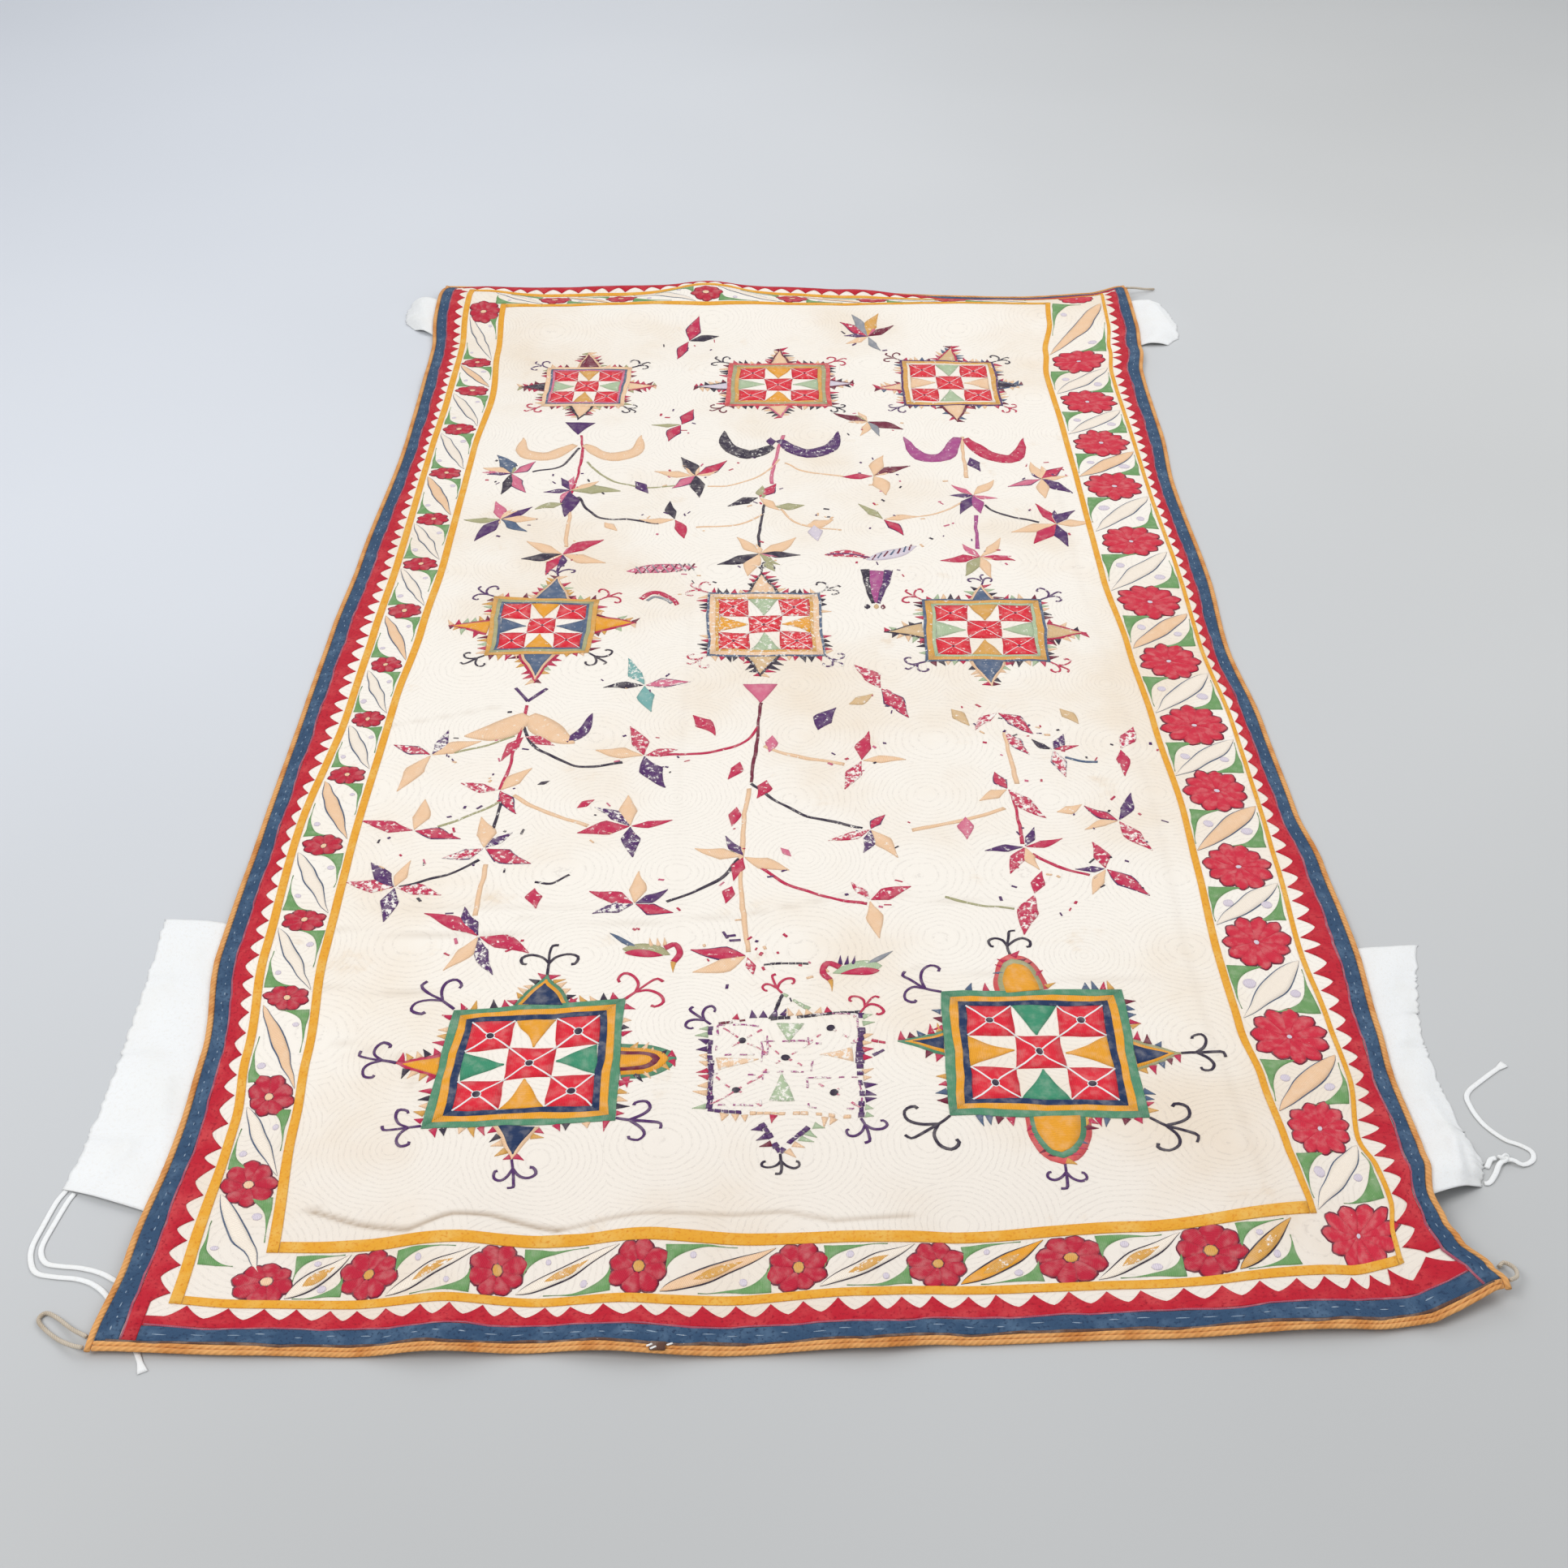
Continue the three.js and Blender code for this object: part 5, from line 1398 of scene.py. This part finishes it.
def branches():
    work = newWork()
    for thread, *path in stems:
        half = 2.3 if thread in ("dark", "crimson", "maroon", "slate") else 3.1
        ribbon(work, path, half, thread, 0.5, 0.2, steps=6 * len(path))
    for thread, *path in twigs:
        ribbon(work, path, 1.8, thread, 0.5, 0.25, steps=6 * len(path))
    for thread, half, *path in horns:
        filled(work, path, half, thread, 1, 0.25 if thread in ("dark", "purple") else 0.18, 18, crescentShape)
    for (x, y), thread in (((-36, -148), "pink"), ((-364, 690), "purple")):
        filled(work, [(x, y), (x, y - 46)], 26, thread, 1, 0.1, 8, pointShape)
    for points in ([(-390, -155), (-368, -190)], [(-368, -190), (-345, -160)]):
        ribbon(work, points, 2.4, "purple", 1, 0.2, steps=5)
    stitchedPiece("branchStems", work)
    work = newWork()
    for x, y, *leaves in stars:
        far = y > 100  # the far stars are larger and fuller
        for angle, length, *named in leaves:
            thread = named[0] if named else "crimson"
            start = polar(x, y, angle, 2)
            outline = "purple" if thread in ("crimson", "pink") and rng.random() < 0.5 else None
            worn = rng.uniform(0.05, 0.2) if thread == "peach" else rng.uniform(0.16, 0.42)
            worn *= 0.55 if far else 1.0
            grown = length * (1.34 if far else 1.18)
            lean = angle + rng.uniform(-4, 4)
            leaf(work, *start, lean, grown, thread, rng.uniform(0.3, 0.44), worn, outline)
        for _ in range(3 if far and len(leaves) > 3 else 0):
            extra = farExtras[rng.integers(len(farExtras))]
            leaf(work, x, y, rng.uniform(0, 360), rng.uniform(30, 52), extra, 0.34, 0.25, level=0.7)
        brokenStitches(work, x, y, int(rng.integers(4, 9)), 66)
    for x, y, angle, length, thread in loneLeaves:
        leaf(work, x, y, angle, length, thread, wide=0.5, worn=0.22)
    stitchedPiece("branchLeaves", work)


branches()


# Small creatures between the branches: birds, two fish, a vase and an arch
def birdWork(work, x, y, facing, body, tail, crest):
    def at(along, up):
        return x + facing * along, y + up

    filled(work, [at(-54, 4), at(-26, 2), at(4, -8)], 11, body, 1, 0.2, 12, leafShape)
    filled(work, [at(-50, -4), at(-28, -6), at(-6, -10)], 6.5, "crimson", 1.8, 0.1, 10, leafShape)
    ribbon(work, [at(-4, 2), at(10, 9), at(17, -4), at(9, -20)], 4, "crimson", 1.4, 0.15, steps=12)
    ribbon(work, [at(9, -20), at(8, -40)], 3.6, "amber", 1, 0.1, steps=4, shape=pointShape)
    ribbon(work, [at(-34, 6), at(-54, 18), at(-70, 30)], 3.4, tail, 1, 0.15, steps=8, shape=leafShape)
    for k in range(3):
        ribbon(work, [at(-20 + 8 * k, 7), at(-22 + 9 * k, 24)], 3.0, crest, 1, 0.1, steps=4, shape=pointShape)


def creatures():
    work = newWork()
    birdWork(work, -146, -726, 1, "olive", "slate", "peach")
    birdWork(work, 60, -759, -1, "sage", "grey", "purple")
    dashes(work, (-36, -750), (26, -751), "dark", 2.0, 0.85)
    for start, end in (((-78, -692), (-72, -704)), ((-72, -700), (-62, -698)), ((-70, -708), (-56, -706))):
        ribbon(work, [start, end], 1.8, "purple", 1, 0.1, steps=4)
    filled(work, [(-250, 172), (-195, 180), (-138, 185)], 13, "pink", 0.4, 0.3, 14, leafShape)
    for k in range(7):
        x, y = -236 + 14 * k, 174 + 1.6 * k
        ribbon(work, [(x, y - 10), (x + 10, y + 11)], 1.3, "maroon", 1.4, 0.25, steps=4)
        ribbon(work, [(x + 10, y - 10), (x, y + 11)], 1.2, "grey", 1.5, 0.3, steps=4)
    filled(work, [(66, 221), (104, 226), (140, 212)], 10, "crimson", 0.6, 0.34, 12, leafShape)
    ribbon(work, [(70, 222), (104, 224), (136, 213)], 1.6, "purple", 1.4, 0.1, steps=8)
    filled(work, [(130, 206), (174, 224), (216, 247)], 13, "mauve", 0.6, 0.2, 12, leafShape)
    for k in range(7):
        x, y = 144 + 10 * k, 213 + 4.9 * k
        ribbon(work, [(x - 3, y - 8), (x + 3, y + 8)], 1.5, ("maroon", "slate")[k % 2], 1.4, 0.2, steps=4)
    filled(work, [(146, 172), (142, 120), (140, 74)], 15, "magenta", 0.6, 0.2, 10, stemmedShape)
    ribbon(work, [(127, 176), (132, 120), (136, 72)], 6.5, "dark", 1.2, 0.25, steps=10, shape=stemmedShape)
    ribbon(work, [(166, 174), (155, 120), (145, 72)], 7, "purple", 1.2, 0.25, steps=10, shape=stemmedShape)
    for x, thread in ((126, "dark"), (140, "tan"), (152, "maroon")):
        ribbon(work, [(x, 58), (x + 1, 70)], 4.5, thread, 1, 0.2, steps=4, shape=leafShape)
    ribbon(work, [(-222, 88), (-207, 106), (-182, 98), (-165, 70)], 4.2, "crimson", 1, 0.25, steps=14)
    ribbon(work, [(-212, 84), (-202, 95), (-186, 90), (-176, 74)], 2.6, "grey", 1, 0.25, steps=12)
    for x, y in ((-60, -720), (10, -790), (-160, 130), (140, 170), (250, 300), (60, 330), (-90, 560)):
        brokenStitches(work, x, y, 6, 60)
    stitchedPiece("smallCreatures", work)


creatures()
print("branches stitched")

# Border: flowers along each side, a slanting leaf and green corners between them
border = {  # fills are the slanting leaves' threads, stretch lengthens a flower along its band
    "left": {
        "along": [
            -1216, -1086, -965, -810, -670, -520, -367, -235, -95, 55, 195, 340, 500, 665, 820, 946, 1150,
        ],
        "radius": 26, "stretch": 0.78, "petals": 8, "heart": "peach", "lean": -1,
        "fills": ("cream", "cream", "peach"),
    },
    "right": {
        "along": [-1207, -1045, -880, -716, -568, -407, -255, -90, 77, 263, 449, 607, 770, 939, 1212],
        "radius": 43, "stretch": 1.1, "petals": 11, "heart": "mauve", "lean": -1,
        "fills": ("cream", "peach", "cream"),
    },
    "near": {
        "along": [-547, -440, -299, -153, 9, 151, 282, 408, 514], "radius": 31, "stretch": 1.0,
        "petals": 8, "heart": "amber", "lean": 1,
        "fills": ("cream", "cream", "cream", "peach", "cream", "gold", "cream", "amber"),
    },
    "far": {
        "along": [-590, -450, -320, -150, 20, 180, 330, 500], "radius": 30, "stretch": 1.0, "petals": 8,
        "heart": "peach", "lean": 1, "fills": ("cream", "peach", "cream"),
    },
}
ownFlowers = {  # flowers that differ: inset from the band's middle, radius and stretch
    ("left", -1216): (35, 28, 0.95), ("left", -1086): (0, 27, 1.15), ("left", -965): (0, 27, 1.1),
    ("left", 1150): (0, 29, 1.3), ("right", -1207): (-3, 54, 0.7), ("right", 1212): (0, 35, 0.9),
}


def borderFlower(work, x, y, reachX, reachY, petals, heart):
    spin = rng.uniform(0, 360)
    half = math.sin(math.pi / petals) * 0.88
    thread = "scarlet" if heart == "mauve" else "rose"
    disc(work, x, y, min(reachX, reachY) * 0.6, thread, 0.05)

    def at(angle, share):
        turn = math.radians(angle)
        return x + reachX * share * math.cos(turn), y + reachY * share * math.sin(turn)

    for k in range(petals):
        angle = spin + 360 * k / petals
        reach = rng.uniform(0.94, 1.06)
        slope = abs(math.cos(math.radians(angle)))
        wide = half * (slope * reachY + (1 - slope) * reachX)
        rim = [at(angle, 0.1), at(angle, reach + 0.04)]
        ribbon(work, rim, wide + 1.5, "maroon", 0.2, steps=8, shape=petalShape)
        filled(work, [at(angle, 0.1), at(angle, reach)], wide - 0.4, thread, 1.1, 0.05, 9, petalShape)
    eye = min(reachX, reachY) * (0.08 if heart == "mauve" else 0.2)
    if heart != "mauve":
        disc(work, x, y, eye * 1.25, "maroon", 1.6)
    disc(work, x, y, eye, heart, 2.2)


def borderInterval(work, side, first, second, fill):
    spec, line = border[side], lines[side]
    low, high = line["flowerStart"] + 2, line["flowerEnd"] - 2
    radius, span, middle = spec["radius"] * spec["stretch"], abs(second - first), (low + high) / 2
    foot, top = (first, second) if spec["lean"] > 0 else (second, first)
    onward = 1 if top > foot else -1
    size = (high - low) / 60

    def at(along, distance):
        return borderPlace(side, along, distance)

    start = foot + onward * radius * 0.72
    end = top - onward * radius * 0.72
    slant = [at(start, low + 1), at((start + end) / 2, middle), at(end, high - 1)]
    leafHalf = min(8.2 * size, 0.085 * span)
    outline = "dark" if side == "near" else "slate"
    ribbon(work, slant, leafHalf + 1.7, outline, 0.5, 0.0, steps=16, shape=leafShape)
    filled(work, slant, leafHalf, fill, 1.1, 0.0, 16, leafShape)
    if side == "near":  # a second colour couched along the leaf's middle
        shares = (0.28, 0.5, 0.72)
        inner = [at(start + (end - start) * share, low + 1 + (high - low - 2) * share) for share in shares]
        filled(work, inner, leafHalf * 0.72, "amber", 1.6, 0.3, 10, leafShape)
    for flower, way, tape, inwards in ((foot, onward, high, -1), (top, -onward, low, 1)):
        corner = flower + way * (radius * 0.8 + 5)
        reach = min(0.44 * span, 78 * size)
        deep = tape + inwards * 0.62 * (high - low) * rng.uniform(0.85, 1.05)
        first, hollow = at(corner + way * reach, tape + inwards), at(corner - way * 3, tape + inwards)
        cornerPatch(work, first, hollow, at(corner - way * 1, deep), "green", 0.6, 0.08)
        blot = at(corner + way * (reach * 0.26 + 7 * size), tape + inwards * 14 * size)
        disc(work, *blot, rng.uniform(3.6, 5.2) * size, "mauve", 0.4)


for side, spec in border.items():
    work = newWork()
    line = lines[side]
    middle = (line["flowerStart"] + line["flowerEnd"]) / 2
    shared = side in ("near", "far")  # the corner flowers belong to the long sides
    for k, along in enumerate(spec["along"]):
        if not (shared and k in (0, len(spec["along"]) - 1)):
            inset, radius, stretch = ownFlowers.get((side, along), (0, spec["radius"], spec["stretch"]))
            reach = (radius * stretch, radius) if shared else (radius, radius * stretch)
            place = borderPlace(side, along, middle + inset)
            borderFlower(work, *place, *reach, spec["petals"], spec["heart"])
        if k:
            fill = spec["fills"][(k - 1) % len(spec["fills"])]
            borderInterval(work, side, spec["along"][k - 1], along, fill)
    stitchedPiece(f"border{side.capitalize()}", work, onFloor=False)


# Running stitches along the blue bands, the fine line between blue and red, and painted shadow along the near
# edge and in the piping's worn gap
endSpacing, sideSpacing = ((22, 36), (7, 13)), ((13, 19), (3, 6))  # gap, length of a stitch, least and most


def seamStitchesAndEdgeShadow():
    work = newWork()
    for side in bands:
        line = lines[side]
        first, last = spans[side]
        gaps, lengths = sideSpacing if side in uprights else endSpacing
        at = first + 12
        while at < last - 20:
            distance = line["blue"] * rng.uniform(0.42, 0.6)
            run = [borderPlace(side, at, distance), borderPlace(side, at + rng.uniform(*lengths), distance)]
            ribbon(work, run, 0.8, "steel", 3.2, 0.12, steps=3, shape=crescentShape)
            at += rng.uniform(*gaps)
        steps = int((last - first) / 12)
        seam = [borderPlace(side, at, line["blue"] + 0.3) for at in np.linspace(first + 2, last - 2, steps)]
        ribbon(work, seam, 1.1, "rosewood", 3.0, 0.1, steps=steps)
    # painted shadow: a dark line along the near edge, in the gap between the blue band and the piping
    edge = [(s, -halfLength - 0.8) for s in np.linspace(-halfWidth + 8, halfWidth - 8, 110)]
    ribbon(work, edge, 1.7, "umber", 5.0, 0.1, steps=110)
    # painted shadow: a dark patch in the near piping's worn gap, with frayed white threads over it
    hem = -halfLength - 5
    filled(work, [(-135, hem), (-121, hem)], 5.5, "umber", 10.5, 0.0, 5, None)
    for s, t in ((-138, -6), (-134, -9), (-120, -4)):
        ribbon(work, [(s, -halfLength + t), (s + 5, -halfLength + t + 3)], 1.1, "white", 11.5, 0.0, steps=3)
    stitchedPiece("seamStitchesAndEdgeShadow", work, onFloor=False)


seamStitchesAndEdgeShadow()
print("borders stitched")


# Floor and soft light, in metres
look = {
    # painted light: the floor is lighter to the left and darker to the right and near, as the light falls off
    "floor": {"left": (216, 219, 224), "right": (197, 197, 195), "near": (186, 186, 184)},
    "floorSize": 9.0,
    "sky": (236, 240, 246),
    "skyStrength": 0.66,
    "lights": [  # place, aim, size, watts
        ((-2.6, -2.2, 3.6), (0.0, 0.0, 0.0), 2.6, 84),
        ((2.8, 0.6, 3.4), (0.0, 0.2, 0.0), 3.0, 50),
        ((0.0, 3.4, 3.2), (0.0, 0.4, 0.0), 3.0, 36),
    ],
}


def floorPiece():
    bm = bmesh.new()
    bmesh.ops.create_grid(bm, x_segments=2, y_segments=2, size=look["floorSize"])
    mesh = bpy.data.meshes.new("floor")
    bm.to_mesh(mesh)
    bm.free()
    floor = linked("floor", mesh)
    tones = {part: shade(colour) for part, colour in look["floor"].items()}
    material, tree = newMaterial("paleFloor", 0.9, 0.0)
    where = node(tree, "TexCoord", {}).outputs["Object"]
    place = node(tree, "SeparateXYZ", {"Vector": where}).outputs
    # painted light falloff across the floor
    tone = mixOf(tree, rampOf(tree, place["X"], -1.6, 1.6), tones["left"], tones["right"])
    tone = mixOf(tree, rampOf(tree, place["Y"], -2.0, 0.4), tones["near"], tone)
    cloudy = timesOf(tree, cloudsOf(tree, where, 0.7, 2, 0.3, 0.7), 0.06)
    floor.data.materials.append(finished(material, mixOf(tree, cloudy, tone, (1, 1, 1, 1))))


floorPiece()
world = bpy.data.worlds.new("softSky")
scene.world = world
world.use_nodes = True
sky = world.node_tree.nodes["Background"]
sky.inputs["Color"].default_value = shade(look["sky"])
sky.inputs["Strength"].default_value = look["skyStrength"]
for k, (place, aim, size, watts) in enumerate(look["lights"]):
    lamp = bpy.data.lights.new(f"softLight{k}", "AREA")
    lamp.shape = "DISK"
    lamp.size = size
    lamp.energy = watts
    lampObject = linked(f"softLight{k}", lamp)
    lampObject.location = place
    lampObject.rotation_euler = (Vector(aim) - Vector(place)).to_track_quat("-Z", "Y").to_euler()
scene.view_settings.view_transform = "Standard"
scene.view_settings.look = "None"
